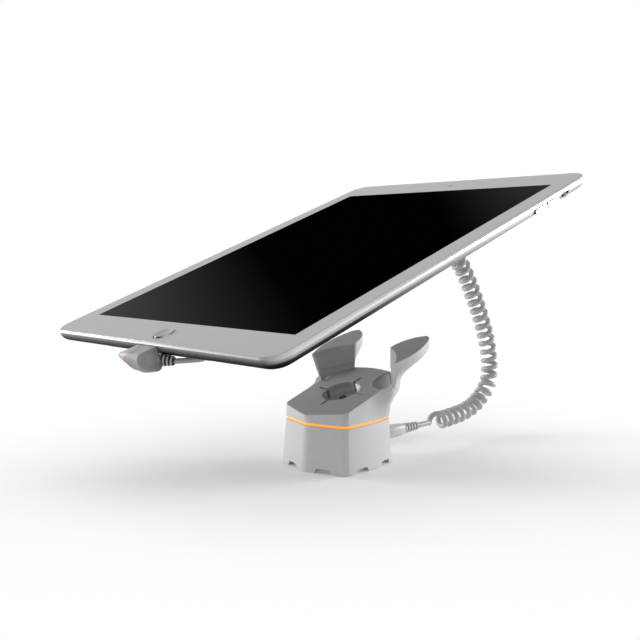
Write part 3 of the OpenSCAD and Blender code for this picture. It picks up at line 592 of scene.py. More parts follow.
CORD_Y0 = PLUG_Y + PLUG_LEN + BOOT_LEN
PLUG_END, CORD_START = Vector((0, PLUG_Y + PLUG_LEN, CORD_Z)), Vector((0, CORD_Y0, CORD_Z))
TETHER_W, TETHER_LEN = 3.9, 14
TETHER_ROOT = PUCK @ Vector((0, PUCK_R, TETHER_W))
TETHER_END = PUCK @ Vector((0, PUCK_R + TETHER_LEN, TETHER_W))
ROUTE = [(72, 11), (80, 11.4), (89.5, 11.4), (100.9, 12.3), (107, 13), (114, 14.6), (120.5, 17), (126, 20.4),
         (130, 23.5), (134, 28.2), (135.4, 33.4), (135.7, 40.8), (134.6, 47.8), (132.8, 53.7), (130.7, 59.8),
         (125.3, 71.4), (119.3, 81.9), (113.4, 91.6), (107, 100.8), (103.5, 104.7), (95, 110.8), (85, 115),
         (75, 117), (65, 117.3), (55, 116.4), (45, 114.6), (35, 112), (25, 108.8)]
CURL_POINTS = 24
OPEN_LEN, OPEN_CURLS = 11, 0.5


def curly_path():
    """The strand: straight, then opening over half a curl, wound, and closing again."""
    track = smooth_line([CORD_START] + [(0, y, z) for y, z in ROUTE] + [TETHER_END], 5)
    reach = reach_along(track)
    total = reach[-1]

    def spot(s):
        return Vector(on_line(track, reach, min(max(s, 0), total)))

    def heading(s):
        return (spot(s + 1.5) - spot(s - 1.5)).normalized()

    straight = 3 * STRAND_D
    turns = CURLS + 2 * OPEN_CURLS
    wound = total - 2 * straight - 2 * OPEN_LEN

    def along(u):
        if u < OPEN_CURLS:
            return straight + OPEN_LEN * u / OPEN_CURLS
        if u > turns - OPEN_CURLS:
            return total - straight - OPEN_LEN * (turns - u) / OPEN_CURLS
        return straight + OPEN_LEN + wound * (u - OPEN_CURLS) / CURLS

    points = [spot(0), spot(0) + heading(0) * straight * 0.5]
    for k in range(int(turns * CURL_POINTS) + 1):
        u = k / CURL_POINTS
        s = along(u)
        t = heading(s)
        up = Vector((0, -t.z, t.y))
        e = min(max(min(s - straight, total - straight - s) / 9, 0), 1)
        swing = CURL_R * e * e * (3 - 2 * e)
        a = radians(360 * u + 180)
        points.append(spot(s) + swing * (cos(a) * up + sin(a) * Vector((1, 0, 0))))
    return points + [spot(total) - heading(total) * straight * 0.5, spot(total)]


curly = curly_path()
curly_obj = cord("curly cord", curly, STRAND_D, 14, ("base", "tablet"), "curly_cord")

EDGE_V = -TAB_L / 2
LEAD_W = FLANGE_TOP - 2.1
OUTLET_END = FLANGE_R + 0.6
# Plan place from the tablet's front edge, and how far under its glass
LEAD_ROUTE = [(0, -SHIFT - OUTLET_END - EDGE_V, LEAD_W - PUCK_TOP - TAB_T), (0, 70, -10.4), (0.5, 64, -9.6),
              (2, 56, -9.1), (7, 46, -9), (13, 36, -9), (19, 26, -9), (24, 18, -9), (26.5, 12.5, -9),
              (25, 8.8, -9.3), (21, 7.2, -9.5), (17, 5.29, -9.33), (14.73, 3.99, -9.09), (13, 3, -8.9)]
LEAD_ROUTE = [(x, EDGE_V + y, w) for x, y, w in LEAD_ROUTE]
lead = placed(smooth_line(LEAD_ROUTE, 8), TABLET)
lead_obj = cord("charging lead", lead, LEAD_D, 20, ("tablet", "connector"), "charge_lead")


def boot_profile(r0, r1, length, ribs):
    """Tapered strain relief with rounded ribs and grooves between them."""
    step = length / ribs
    out = [(0, 0)]
    for i in range(ribs):
        r = between(r0, r1, i / ribs)
        z = i * step
        end = z + step * 0.7
        soft = min(0.35, r * 0.15)
        out += [(r - soft, z), (r - soft * 0.3, z + soft * 0.3), (r, z + soft)]
        out += [(r, end - soft), (r - soft * 0.3, end - soft * 0.3), (r - soft, end)]
        out += [(r * 0.76, end + 0.1), (r * 0.76, z + step - 0.02)]
    return out + [(r1 * 0.76, length), (0, length)]


def boot(name, root, tip, radii, ribs, sides, body, node, within=Matrix()):
    """A ribbed boot between two points of a frame."""
    ahead = tip - root
    place = within @ Matrix.Translation(root) @ ahead.to_track_quat("Z", "Y").to_matrix().to_4x4()
    shape = lathe(name, boot_profile(*radii, ahead.length, ribs), place, sides)
    return finished(shape, body, ribbed_surface(within @ root, within @ tip, ribs), node, sharp=50)


def tether_plug():
    rings = [[(x, PLUG_Y + y, CORD_Z + z) for x, z in rounded_rect(w, h, r)] for w, h, r, y in (
        (6, 4.2, 0.6, -6), (6, 4.2, 0.6, -0.02), (7, 5.8, 1.5, 0), (8, 6.8, 2, 0.7), (8, 6.8, 2, 11.8),
        (7.7, 6.6, 2.1, 14.5), (6.5, 6.1, 2.3, 19.3), (5.4, 5.4, 2.3, 20))]
    return finished(loft("tether plug", rings), "base", PLUG, "cord_plug", sharp=40)


plug = tether_plug()
rear_boot = boot("tether boot", PLUG_END, CORD_START, (3, 2.2), 5, 40, "base", "cord_boot")
puck_boot = boot("puck boot", TETHER_ROOT, TETHER_END, (3, 2.1), 5, 40, "tablet", "puck_boot")
reach_along(curly)[-1] * MM


# Base
SCREWS = [(s * x, y) for x, y in ((17.4, -14.5), (10.4, 19.4)) for s in (1, -1)]
CORNER_BACK = CORNER[1] + 2.6
REAR_A, REAR_B = REAR, (-REAR[0], REAR[1])
FRONT_STEPS = 8
BAND_SIDE = ((SIDE_X, CORNER_BACK), REAR_A)
BAND_HALF = bow((0, -FRONT_Y), CORNER, 0.2, FRONT_STEPS) + bow(*BAND_SIDE, 1.9, 32)
BAND_PLAN = BAND_HALF + bow(REAR_A, REAR_B, BACK_Y - REAR[1], 42)[1:-1] + mirrored(BAND_HALF)
CUT_X, CUT_SUM = 13.9, ARM_SUM + 1.2
CUT_A, CUT_B = (CUT_X, CUT_SUM - CUT_X), (-CUT_X, CUT_SUM - CUT_X)
TOP_SIDE = SIDE_X + 0.5
TOP_HALF = bow((0, -FRONT_Y - 0.2), (CORNER[0] - 0.2, CORNER[1] + 0.2), 0.2, FRONT_STEPS) + \
    bow((TOP_SIDE, CORNER_BACK), (TOP_SIDE, CUT_SUM - TOP_SIDE), 0.2, 31) + [CUT_A]
TOP_PLAN = TOP_HALF + bow(CUT_A, CUT_B, 1.6, 42)[1:-1] + mirrored(TOP_HALF)


def oblong(x0, y0, x1, y1):
    return [(x0, y0), (x1, y0), (x1, y1), (x0, y1)]


def foot_ring(z, depth=0.0):
    """The tapered foot's outline at a height, drawn in by a depth."""
    outline = scaled(BAND_PLAN, between(FLARE, 1, z / LOWER_H))
    return level(inset(outline, depth) if depth else outline, z)


def lower_housing():
    foot = loft("lower housing", [foot_ring(z) for z in (0, 6, 12, 18, LOWER_H)])
    carve(foot, [loft("cut", [foot_ring(z, WALL) for z in span]) for span in ((5, LOWER_H + 1), (-1, 3.4))])
    carve(foot, [rod("post", 3, moved(*spot), 3.4 + 0.01, LOWER_H, 32) for spot in SCREWS], "UNION")
    tools = [rod("cut", r, moved(*spot), -1, high, 24) for spot in SCREWS
             for r, high in ((1.08, LOWER_H + 1), (2.42, 5.4))]
    tools += [rod("cut", 1.03, moved(x, y), 2, 6.42, 24) for x in (12, -12) for y in (-10, 8)]
    notch = [(-5, -1), (5, -1), (5, 0), (3.8, 2.2), (-3.8, 2.2), (-5, 0)]
    for x, y, turn in ((11.5, -25.5, 16), (24, -8, 88), (21, 14, 108)):
        for s in (1, -1):
            tools.append(prism("cut", notch, moved(s * x, y) @ turned(s * turn, "Z") @ turned(90, "X"), -4, 4))
    tools.append(prism("cut", oblong(-5.51, -4.31, 5.51, 4.31), moved(0, BACK_Y - 9, CORD_Z) @ turned(90, "X"), -20, 0))
    carve(foot, tools)
    finished(foot, "base", HOUSING, "lower_housing", bevel=0.25, limit=28)


def light_band():
    rings = [level(inset(BAND_PLAN, depth), z)
             for depth, z in ((0.5, LOWER_H), (0.5, BAND_TOP), (1.9, BAND_TOP), (1.9, LOWER_H))]
    finished(loft("light band", rings, ring_closed=True), "base", GLOW, "light_band", bevel=0.12,
             limit=30)


# Right arm, lofted from its neck to the leaf-shaped head. A plan point is given by how far
# it lies along the inner face and how far behind it.
HALF = sqrt(0.5)
LEAF = bow((30.2, ARM_SUM - 30.2), (28.8, 38.6), 3.9, 40) + bow((25.5, 40.8), (13.2, ARM_SUM - 13.2), 3.2, 36)
POINTS = 72
# By depth below the arm top: how much of the leaf outline is left, and where its front edge lies
SHARE = [(0, 1.0), (5.0, 1.0), (5.5, 0.97), (6.0, 0.90), (7, 0.74), (8, 0.56), (9, 0.40), (10, 0.27), (11.5, 0.13),
         (13, 0.05), (15, 0.01), (17, 0.0)]
FRONT_EDGE = [(0, -16.3), (4.5, -14.9), (10, -13.3), (15, -12.0), (17, -11.8)]
FACE_FROM = -4
# By height: how far the neck reaches behind the arm face, and where its front edge lies
THICK = [(25, -0.85), (28, -0.6), (30, -0.2), (33, 0.7), (36, 2.1), (38, 3.4), (39.5, 4.2), (42, 4.85), (44, 4.85),
         (46, 4.6), (49, 4.0)]
FOOT_EDGE = [(25, 2.0), (30, -2.5), (33, -6.0), (36, -9.0), (39, -11.2), (42, -11.9), (44, -11.7), (46, -11.2),
             (49, -10.4)]
NECK_IN = 7.9
NECK_ROUND = 3.5
FILLET_Y = -2


def in_plan(s, d):
    base = ARM_SUM / 2
    return (base + (d - s) * HALF, base + (d + s) * HALF)


def spread_evenly(points, count):
    """Resamples an open line at even steps."""
    reach = reach_along(points)
    return [on_line(points, reach, reach[-1] * i / (count - 1)) for i in range(count)]


def from_table(table, x):
    if x <= table[0][0]:
        return table[0][1]
    for (a, u), (b, v) in zip(table, table[1:]):
        if x <= b:
            return between(u, v, (x - a) / (b - a))
    return table[-1][1]


def eased(table, x):
    """A table value with its corners smoothed."""
    return sum(from_table(table, x + 0.4 * k) for k in range(-3, 4)) / 7


def neck_line(thick, s0, s1, corner, r):
    """Outer line of the neck from its front edge to its rear edge."""
    reach = 0.6 * (s1 - s0)
    out = [(s0, 0.0), (s0, (thick - corner) / 2)]
    out += [(s0 + reach * k / 10, thick - corner * (1 - k / 10) ** 2) for k in range(11)]
    out += [(s1 - r + r * sin(pi * k / 10), thick - r + r * cos(pi * k / 10)) for k in range(6)]
    return out + [(s1, 0.0)]


LEAF_BACK = spread_evenly([((y - x) * HALF, (x + y - ARM_SUM) * HALF) for x, y in LEAF], POINTS)
NECK_BACK = spread_evenly(neck_line(4.9, -11.8, NECK_IN, NECK_ROUND, 1.2), POINTS)


def arm_section(depth, floor=None):
    """One closed section; depth is measured down from the arm's top plane. A floor is the
    height of a flatter section and its rise to the rear."""
    share = from_table(SHARE, depth)
    back = [tuple(between(*pair, share) for pair in zip(n, l)) for n, l in zip(NECK_BACK, LEAF_BACK)]
    pull = (from_table(FRONT_EDGE, depth) - FACE_FROM) / (back[0][0] - FACE_FROM)
    back = [(s if s > FACE_FROM else FACE_FROM + (s - FACE_FROM) * pull, d) for s, d in back]
    ring = back + [(between(back[-1][0], back[0][0], k / 13), 0.0) for k in range(1, 13)]
    plan = [in_plan(s, d) for s, d in ring]
    if floor:
        return [(x, y, floor[0] + floor[1] * (y - 14)) for x, y in plan]
    return [(x, y, DOCK_Z + ARM_H * PLANE_UP + RAMP * y - depth) for x, y in plan]


def arm():
    depths = [0, 2.6, 4.6, 5.2, 5.6, 6, 6.5, 7, 7.5, 8, 8.5, 9, 9.5, 10, 10.7, 11.5, 12.2, 13, 14]
    rings = [arm_section(depth) for depth in depths] + [arm_section(16, (42.8, 0.15)), arm_section(18, (41.2, 0.0))]
    return triangled(loft("arm", rings[::-1]))


def risen(z, y):
    """How far up the wall a height is, from the band to the panel."""
    return min((z - BAND_TOP) / (DOCK_Z + RAMP * y - BAND_TOP), 1.1)


def wall_x(y, z):
    t = (y - CORNER_BACK) / (REAR_A[1] - CORNER_BACK)
    low = between(SIDE_X, REAR_A[0], t) + 7.6 * t * (1 - t)
    return between(low, TOP_SIDE + 0.2, risen(z, y))


def half_section(z):
    """Right half of the housing's outline at one height, from the front ridge to the rear."""
    out = []
    for a, b in zip(BAND_HALF[:FRONT_STEPS + 1], TOP_HALF):
        t = risen(z, b[1])
        out.append((between(a[0], b[0], t), between(a[1], b[1], t)))
    for k in range(9):
        y = between(CORNER_BACK, FILLET_Y, k / 8)
        out.append((wall_x(y, z), y))
    start = out[-1]
    mid_y = between(9, 6.1, min((z - BAND_TOP) / 17, 1))
    middle = (start[0] + (start[0] - wall_x(FILLET_Y - 2, z)) / 2 * (mid_y - FILLET_Y), mid_y)
    grown = min(max((z - 29) / 12, 0), 1)
    line = neck_line(eased(THICK, z), eased(FOOT_EDGE, z), NECK_IN - 0.1, NECK_ROUND * grown, 1.2 * grown + 0.05)
    line = [in_plan(s, d) for s, d in line[2:-1]]
    end, after = line[:2]
    back = 4.5 / dist(after, end)
    late = [e - (a - e) * back for e, a in zip(end, after)]
    for k in range(1, 24):
        t = k / 24
        out.append(tuple((1 - t) ** 3 * a + 3 * t * (1 - t) ** 2 * b + 3 * t * t * (1 - t) * c + t ** 3 * d
                         for a, b, c, d in zip(start, middle, late, end)))
    out += line
    rise = min((z - BAND_TOP) / 22.6, 1)
    edge = in_plan(NECK_IN - 0.1, between(-1.0, 0.8, rise))
    rear = between(BACK_Y, CUT_A[1] + 1.6, rise)
    for k in range(15):
        x = edge[0] * (1 - k / 14)
        out.append((x, rear - (rear - edge[1]) * (x / edge[0]) ** 2))
    return out


def body_loft():
    rings = []
    for z in (BAND_TOP, 26.3, 27.6, 28.9, 30.2, 31.5, 32.8, 34, 35.2, 36.4, 37.6, 38.8, 40, 41.2, 42.4, 43.6, 45, 46.5,
              49):
        half = half_section(z)
        rings.append(level(half + mirrored(half[:-1]), z))
    return triangled(loft("upper housing", rings))


def bevel_cone(grow=0.0):
    profile = [(BEVEL_R + rise + grow, ARM_H + rise) for rise in (-8, 4)]
    return lathe("cone", [(0, ARM_H - 8), *profile, (0, ARM_H + 4)], DOCK, 160)


def face_strip(d0, d1):
    k = HALF
    a, b = (60, ARM_SUM - 60), (-30, ARM_SUM + 30)
    return [(x + k * d, y + k * d) for (x, y), d in ((a, d0), (a, d1), (b, d1), (b, d0))]


def scoop_axis(sign):
    return DOCK @ turned(-45 * sign, "Z") @ moved(0, ARM_FACE - SCOOP_IN, SCOOP_R - SCOOP_D) @ turned(90, "Y")


def pad_outline(d):
    """The pad's inner face, which leaves a rim of housing along the front edge of the arm."""
    out = []
    for s, up in ((-15.1, 14.6), (-13.2, 8.5), (-11.3, 2.8), (30, 2.8), (30, 40), (-15.1, 40)):
        x, y = in_plan(s, d)
        out.append((x, y, DOCK_Z + RAMP * y + up))
    return out


def pad_zone():
    """What the right grip pad takes of the arm: its top, its inner face and the wall of the scoop."""
    zone = loft("zone", [pad_outline(d) for d in (-6, PAD_T)])
    plan = inset(LEAF, 0.35)
    top = slab("zone top", plan, DOCK_Z + (ARM_H - PAD_T) * PLANE_UP, 6)
    ring = slab("zone ring", plan, DOCK_Z + (ARM_H - 6) * PLANE_UP, 12)
    carve(ring, [bevel_cone(PAD_T * sqrt(2))], "INTERSECT")
    liner = rod("liner", SCOOP_R + 0.9, scoop_axis(1), -14, 10.9, 60)
    carve(liner, [slab("beyond", face_strip(-0.45, 9), DOCK_Z - 9, 40)], "INTERSECT")
    return carve(zone, [top, ring, liner], "UNION")


def scoop(sign):
    """Cutter of the scoop along an arm's foot: above the dock surface it runs right through,
    below it deepens towards the front and stops short of the outer wall."""
    floor_x = SCOOP_R - SCOOP_D
    turn = acos(floor_x / SCOOP_R)
    arc = [turn + (2 * pi - 2 * turn) * k / 60 for k in range(61)]
    above = prism("scoop", [(SCOOP_R * cos(a), SCOOP_R * sin(a)) for a in arc], scoop_axis(sign), -42, 42)
    edge = 3.6
    rings = []
    for along, deep, r in ((-9.0, 0.35, 9.0), (-3, 1.1, 13.0), (3.5, 1.7, 10.0), (8, 2.0, 6.5),
                           (SCOOP_END, SCOOP_D, 4.3)):
        spread = acos((r - deep) / r)
        half = r * sin(spread)
        outline = [(floor_x + deep - r + r * cos(a), edge - half + r * sin(a))
                   for a in [spread * (k / 12 - 1) for k in range(25)]]
        outline += [(-1.0, 2.7), (-1.0, edge - 2 * half)]
        rings.append([scoop_axis(sign) @ Vector((x, y, along * sign)) for x, y in outline])
    return carve(above, [triangled(loft("scoop low", rings))], "UNION")


def panel_block(name, lip, edge, z0, t):
    """The panel's plan as a slab, cut off in front of the arms."""
    block = slab(name, inset(TOP_PLAN, lip), z0, t)
    return carve(block, [prism("clip", clip_plan(edge), Matrix(), -20, 120)], "INTERSECT")


def clip_plan(edge):
    half = [(60, -60), (60, edge - 60), (edge - 24, 24), (edge - 24, 60)]
    return [(-60, -60)] + half + mirrored(half)


def upper_housing():
    body = body_loft()
    room_top = inset([p for p in TOP_PLAN if abs(p[0]) + p[1] < ARM_SUM - 2.5], WALL)
    room = hull("room", level(inset(BAND_PLAN, WALL), BAND_TOP - 1) + level(inset(BAND_PLAN, WALL), BAND_TOP + 1)
                + [(x, y, DOCK_Z - PANEL_DROP + z + RAMP * y) for x, y in room_top for z in (-1, 2)])
    carve(body, [slab("over", clip_plan(ARM_SUM + 0.4), DOCK_Z, 40)])
    right = carve(arm(), [bevel_cone()])
    for tool in (right, twin(right, "arm left", True)):
        carve(body, [tool], "UNION")
    for tool in (scoop(1), scoop(-1), panel_block("seat", PANEL_LIP, ARM_SUM - 0.3, DOCK_Z - PANEL_DROP, 5), room):
        carve(body, [tool])
    zone = pad_zone()
    other = twin(zone, "zone left", True)
    pad = twin(body, "right grip pad")
    carve(pad, [zone], "INTERSECT", keep=True)
    left_pad = twin(pad, "left grip pad", True)
    for tool in (zone, other):
        carve(body, [tool])
    carve(body, [rod("post", r, moved(x, y), low, BAND_TOP + up, 32) for x, y in SCREWS
                 for r, low, up in ((4, BAND_TOP + 0.01, 3.5 if y < 0 else 8), (2.4, LOWER_H, 1))], "UNION")
    carve(body, [rod("cut", 1.08, moved(*spot), LOWER_H - 1, LOWER_H + 4, 24) for spot in SCREWS])
    finished(body, "base", HOUSING, "upper_housing", bevel=0.35, limit=34, sharp=38)
    for piece, node in ((pad, "arm_pad_right"), (left_pad, "arm_pad_left")):
        finished(piece, "base", PAD, node, bevel=0.25, limit=34, sharp=38)


def cross(size, width, place, low, high):
    """Two bars across each other, as the slots of the dock and the keys of the puck."""
    return [prism("bar", rounded_rect(size, width, 0.4), place @ turned(turn, "Z"), low, high) for turn in (0, 90)]


def top_panel():
    panel = panel_block("top panel", PANEL_LIP + 0.06, ARM_SUM - 0.7, DOCK_Z - PANEL_DROP, PANEL_DROP)
    triangled(panel)
    opening = [rod("cut", CUP_R, DOCK, -PANEL_T - 2, 3, 96), *cross(SLOT_R * 2, SLOT_W, DOCK, -PANEL_T - 2, 3)]
    for tool in (scoop(1), scoop(-1), *opening):
        carve(panel, [tool])
    finished(panel, "base", PAD, "top_panel", bevel=0.3, limit=34, sharp=38)


lower_housing()
light_band()
upper_housing()
top_panel()


# Puck
def puck():
    r, top, rim, web = PUCK_R, CAP_TOP, FLANGE_TOP, CAP_W + 2.8
    profile = [(0, web), (r - 2, web), (r - 2, top), (r - 0.02, top), (r, top - 0.1), (r, CAP_W + 1.2),
               (r - 0.35, CAP_W + 0.35), (r - 1.2, CAP_W), (0, CAP_W)]
    cap = lathe("puck cap", profile, PUCK, 128)
    boss = lathe("boss", [(0, -5.2), (8.5, -5.2), (9, -4.7), (9, CAP_W + 1), (0, CAP_W + 1)], PUCK, 96)
    carve(cap, [boss] + cross(2 * SLOT_R - 0.6, SLOT_W - 0.6, PUCK, -5.2, CAP_W + 1), "UNION")
    carve(cap, [rod("cut", 7.95, PUCK, -1.25, CAP_W + 6, 64), rod("cut", 4.6, PUCK, -7, -1.2, 48)])
    finished(cap, "tablet", HOUSING, "puck_cap", bevel=0.2, sharp=35)
    edge = FLANGE_R
    profile = [(0, rim - 2), (r - 2, rim - 2), (r - 2, top + 0.02), (r, top + 0.02), (r + 0.4, top + 0.2),
               (edge - 0.25, rim - 0.9), (edge, rim - 0.5), (edge, rim - 0.02), (edge - 0.1, rim), (0, rim)]
    flange = lathe("puck flange", profile, PUCK, 128)
    outlet = lathe("outlet", [(0, 0), (1.6, 0), (2, 0.4), (2, 5), (0, 5)],
                   PUCK @ moved(0, -OUTLET_END, LEAD_W) @ turned(-90, "X"), 40)
    carve(flange, [outlet], "UNION")
    finished(flange, "tablet", HOUSING, "puck_flange", bevel=0.15, sharp=35)


# Lead boot and connector
BOOT_ROOT, BOOT_TIP = Vector((7.4, EDGE_V - 0.2, -7.1)), Vector(LEAD_ROUTE[-1])
STRIPE_X, STRIPE_W, STRIPE_R, STRIPE_TOP = -3.8, -13.15, 10.8, -4.5
GRIP_FACING = Vector((0.503, -0.762, 0.409)).normalized()
GRIP_SPOT = Vector((6.3, EDGE_V - 4.4, -5.4))


def egg(centre, size, n):
    """Points on an ellipsoid of the given full widths."""
    out = []
    for i in range(1, n // 2):
        a = pi * i / (n // 2)
        out += [Vector((size[0] * sin(a) * x, size[1] * sin(a) * y, size[2] / 2 * cos(a)))
                for x, y in round_points(0.5, n)]
    out += [Vector((0, 0, size[2] / 2)), Vector((0, 0, -size[2] / 2))]
    return [Vector(centre) + p for p in out]


def grip_shape():
    points = []
    for x, ahead, w, size, n in ((1.5, 4.6, -6.9, (17, 7.6, 9.6), 64), (-5, 4.4, -6.8, (12, 7, 9), 48),
                                 (6.5, 3, -7.6, (9, 5.4, 8), 40), (-17.9, 4, -5.7, (2.4, 2.2, 2.6), 32)):
        points += egg((x, EDGE_V - ahead, w), size, n)
    for x in (-5.6, 7.2):
        for w in (-1.9, -6.5):
            points += egg((x, EDGE_V - 0.7, w), (1.8, 1.8, 1.8), 24)
    wall = prism("wall", oblong(-50, EDGE_V - 0.3, 50, EDGE_V + 60), TABLET, -50, 50)
    return carve(hull("connector body", placed(points, TABLET)), [wall])


def stripe_prism(grow):
    """The side of the stripe that belongs to the grip: a round front that runs up into a plane."""
    across = TABLET @ moved(STRIPE_X, EDGE_V, STRIPE_W) @ turned(-90, "X")
    flat = prism("flat", oblong(STRIPE_TOP - grow, EDGE_V - 30, 60, EDGE_V + 30), TABLET, -60, 30)
    return carve(rod("stripe side", STRIPE_R + grow, across, -20, 20, 160), [flat], "UNION")


def stripe_surface():
    """Orange stripe that thins out to the grip's grey along the top."""
    make = Finish("orange stripe", (0.66, 0.27, 0.05), 0.45, bump=0.02, spread=0.03, specular=0.25)
    across = make.tablet_span((1, 0, 0), -13, -3)
    fade = make.ramp(across, [(0.15, 0), (0.6, 1)])
    return make.coloured(make.mixed("MIX", fade, make.tone, make.ramp(across, [(0, 0.3), (1, 0.36)])))


def grip_surface():
    """Moulded grip with painted light and shade across it, darkest in painted shade toward the thumb rest beside the
    tablet.
    """
    make = Finish("connector grip", grey(0.565), 0.55, bump=0.05, spread=0.02, specular=0.2)
    across = make.tablet_span((1, 0, 0.3), -13, 9)
    # Painted light across the middle and painted shade toward the thumb rest and the tablet.
    return make.tinted(make.ramp(across, [(0, 0.42), (0.3, 0.50), (0.7, 0.66), (1, 0.22)]))


def thumb_bowl(radius, depth):
    """A ball that leaves a bowl of the given depth in the thumb rest."""
    centre = GRIP_SPOT + GRIP_FACING * (radius - depth)
    return hull("bowl", placed(egg(centre, (2 * radius,) * 3, 96), TABLET))


def connector():
    whole = grip_shape()
    nose = twin(whole, "connector nose")
    ring = twin(whole, "connector stripe")
    carve(nose, [stripe_prism(1.06)])
    carve(ring, [stripe_prism(1.0)], "INTERSECT")
    carve(ring, [stripe_prism(0.06)])
    carve(whole, [stripe_prism(0.0)], "INTERSECT")
    for radius, depth in ((11.2, 0.9), (5.6, 1.9)):
        carve(whole, [thumb_bowl(radius, depth)])
    finished(whole, "connector", grip_surface(), "connector_body", bevel=0.22, sections=3, limit=36,
             sharp=42)
    finished(ring, "connector", stripe_surface(), "connector_stripe", bevel=0.12, sharp=42)
    finished(nose, "connector", NOSE, "connector_nose", bevel=0.2, sharp=42)
    end = boot("lead boot", BOOT_ROOT, BOOT_TIP, (3.05, 1.9), 4, 48, "connector", "lead_boot", TABLET)
    reach_along(lead)[-1] * MM


# Tablet
KEY_W, PORT_W, HOLE_W = -3.8, -4.0, -2.7
SIDE, END = TAB_W / 2, TAB_L / 2
VOL_UP_V = END - 40.3
VOL_DOWN_V = VOL_UP_V - 11.8
MUTE_V = VOL_UP_V + 13.4
POWER_X = SIDE - 16.75
LENS_X, LENS_V = 14.75 - SIDE, END - 14
HOME_V = 10 - END
CAMERA_V = END - 11.7
FLOOR_W = TAB_T - 0.9
HOLES = [s * (8.2 + 1.9 * k) for s in (1, -1) for k in range(17)]
BACK_STEPS = 12


def tab_ring(cut, w):
    """Rounded outline of the tablet, drawn in by cut."""
    outline = rounded_rect(TAB_W - 2 * cut, TAB_L - 2 * cut, max(TAB_R - cut, 0.4), 14)
    return placed(level(outline, w), TABLET)


def bar(name, axis, spot, section, length):
    """A bar with a rounded section that runs from a spot along an axis of the tablet."""
    outline = rounded_rect(*section, 8)
    x, y, w = spot
    ends = [[(x + t, y + a, w + b) if axis == "X" else (x + a, y + t, w + b) for a, b in outline] for t in (0, length)]
    return loft(name, [placed(ring, TABLET) for ring in ends])


def tablet_shell():
    rings = [tab_ring(cut, w) for cut, w in (
        (5.2, -FLOOR_W), (3.5, -5), (3.5, -GLASS_T), (1.06, -GLASS_T), (1.02, -0.10), (0.92, -0.03), (0.74, -0.02),
        (0.10, -0.62), (0, -0.80), (0, -1.5), (0, EDGE_R - TAB_T))]
    for k in range(1, BACK_STEPS + 1):
        a = pi / 2 * k / BACK_STEPS
        rings.append(tab_ring(9 - 9 * cos(a), EDGE_R - TAB_T - EDGE_R * sin(a)))
    shell = loft("tablet shell", rings)
    key = 11.3, 2.7, 1.3
    tools = [bar("cut", "X", (SIDE - 5, v, KEY_W), section, 9)
             for v, section in ((VOL_UP_V, key), (VOL_DOWN_V, key), (MUTE_V, (7, 2.4, 1.15)))]
    tools += [bar("cut", "Y", (POWER_X, END - 5, KEY_W), key, 9),
              bar("cut", "Y", (0, -END - 3, PORT_W), (10, 4.2, 1.8), 8),
              rod("cut", 4.2, TABLET @ moved(LENS_X, LENS_V), -TAB_T - 1, -TAB_T + 3, 48)]
    tools += [rod("cut", 0.55, TABLET @ moved(x, -END, HOLE_W) @ turned(-90, "X"), -1, 3, 14) for x in HOLES]
    carve(shell, tools)
    finished(shell, "tablet", METAL, "tablet_shell", bevel=0.06, limit=50, sharp=24)


def glass():
    hole = rounded_rect(SCREEN_W, SCREEN_L, 0.3, 14)
    low = -GLASS_T + 0.02
    inner = [placed(level(hole, w), TABLET) for w in (0.0, low)]
    rings = [inner[0], tab_ring(1.2, 0.0), tab_ring(1.08, -0.12), tab_ring(1.08, low), inner[1]]
    sheet = loft("front glass", rings, ring_closed=True)
    carve(sheet, [rod("cut", 5.3, TABLET @ moved(0, HOME_V), -3, 3, 96),
                  rod("cut", 1.4, TABLET @ moved(0, CAMERA_V), -3, 3, 40)])
    finished(sheet, "tablet", BEZEL, "front_glass", sharp=20)


def display():
    block = prism("display", rounded_rect(SCREEN_W - 0.1, SCREEN_L - 0.1, 0.3), TABLET, -2.2, -0.06)
    finished(block, "tablet", SCREEN, "display_panel", sharp=20)


def key_surface():
    """Home key finish: like the glass around it, with an edge ring of painted shade on one side and a painted highlight
    on the other.
    """
    make = Finish("home key", grey(0.46), 0.3, bump=0.0, spread=0.015, specular=0.35, rough_spread=0.03)
    apart = make.distance("DISTANCE", "Object", (TABLET @ Vector((0, HOME_V, 0))) * MM)
    edge = make.span(apart, 4.4 * MM, 4.6 * MM)
    # Painted shade and painted highlight round the key's edge.
    turn = make.ramp(make.tablet_span((1, 0.6, 0), 0.6 * HOME_V - 5.5, 0.6 * HOME_V + 5.5),
                     [(0, 0.01), (0.45, 0.02), (0.6, 0.4), (0.8, 0.9), (1, 0.3)])
    return make.coloured(make.mixed("MIX", edge, make.tone, turn))


def home_button():
    profile = [(0, -1.2), (5.22, -1.2), (5.22, -0.16), (5.16, -0.08), (5.0, -0.05), (4.78, -0.1)]
    profile += [(r, 9 - sqrt(9.45 ** 2 - r * r)) for r in (4.4, 3.6, 2.8, 2.0, 1.2, 0.6)] + [(0, -0.45)]
    dish = lathe("home button", profile, TABLET @ moved(0, HOME_V), 96)
    finished(dish, "home_key", key_surface(), "home_button", sharp=35)


def push_key(node, body, axis, spot):
    shape = bar(node.replace("_", " "), axis, spot, (11, 2.4, 1.15), 3.7)
    finished(shape, body, METAL, node, bevel=0.15, sections=3, sharp=30)


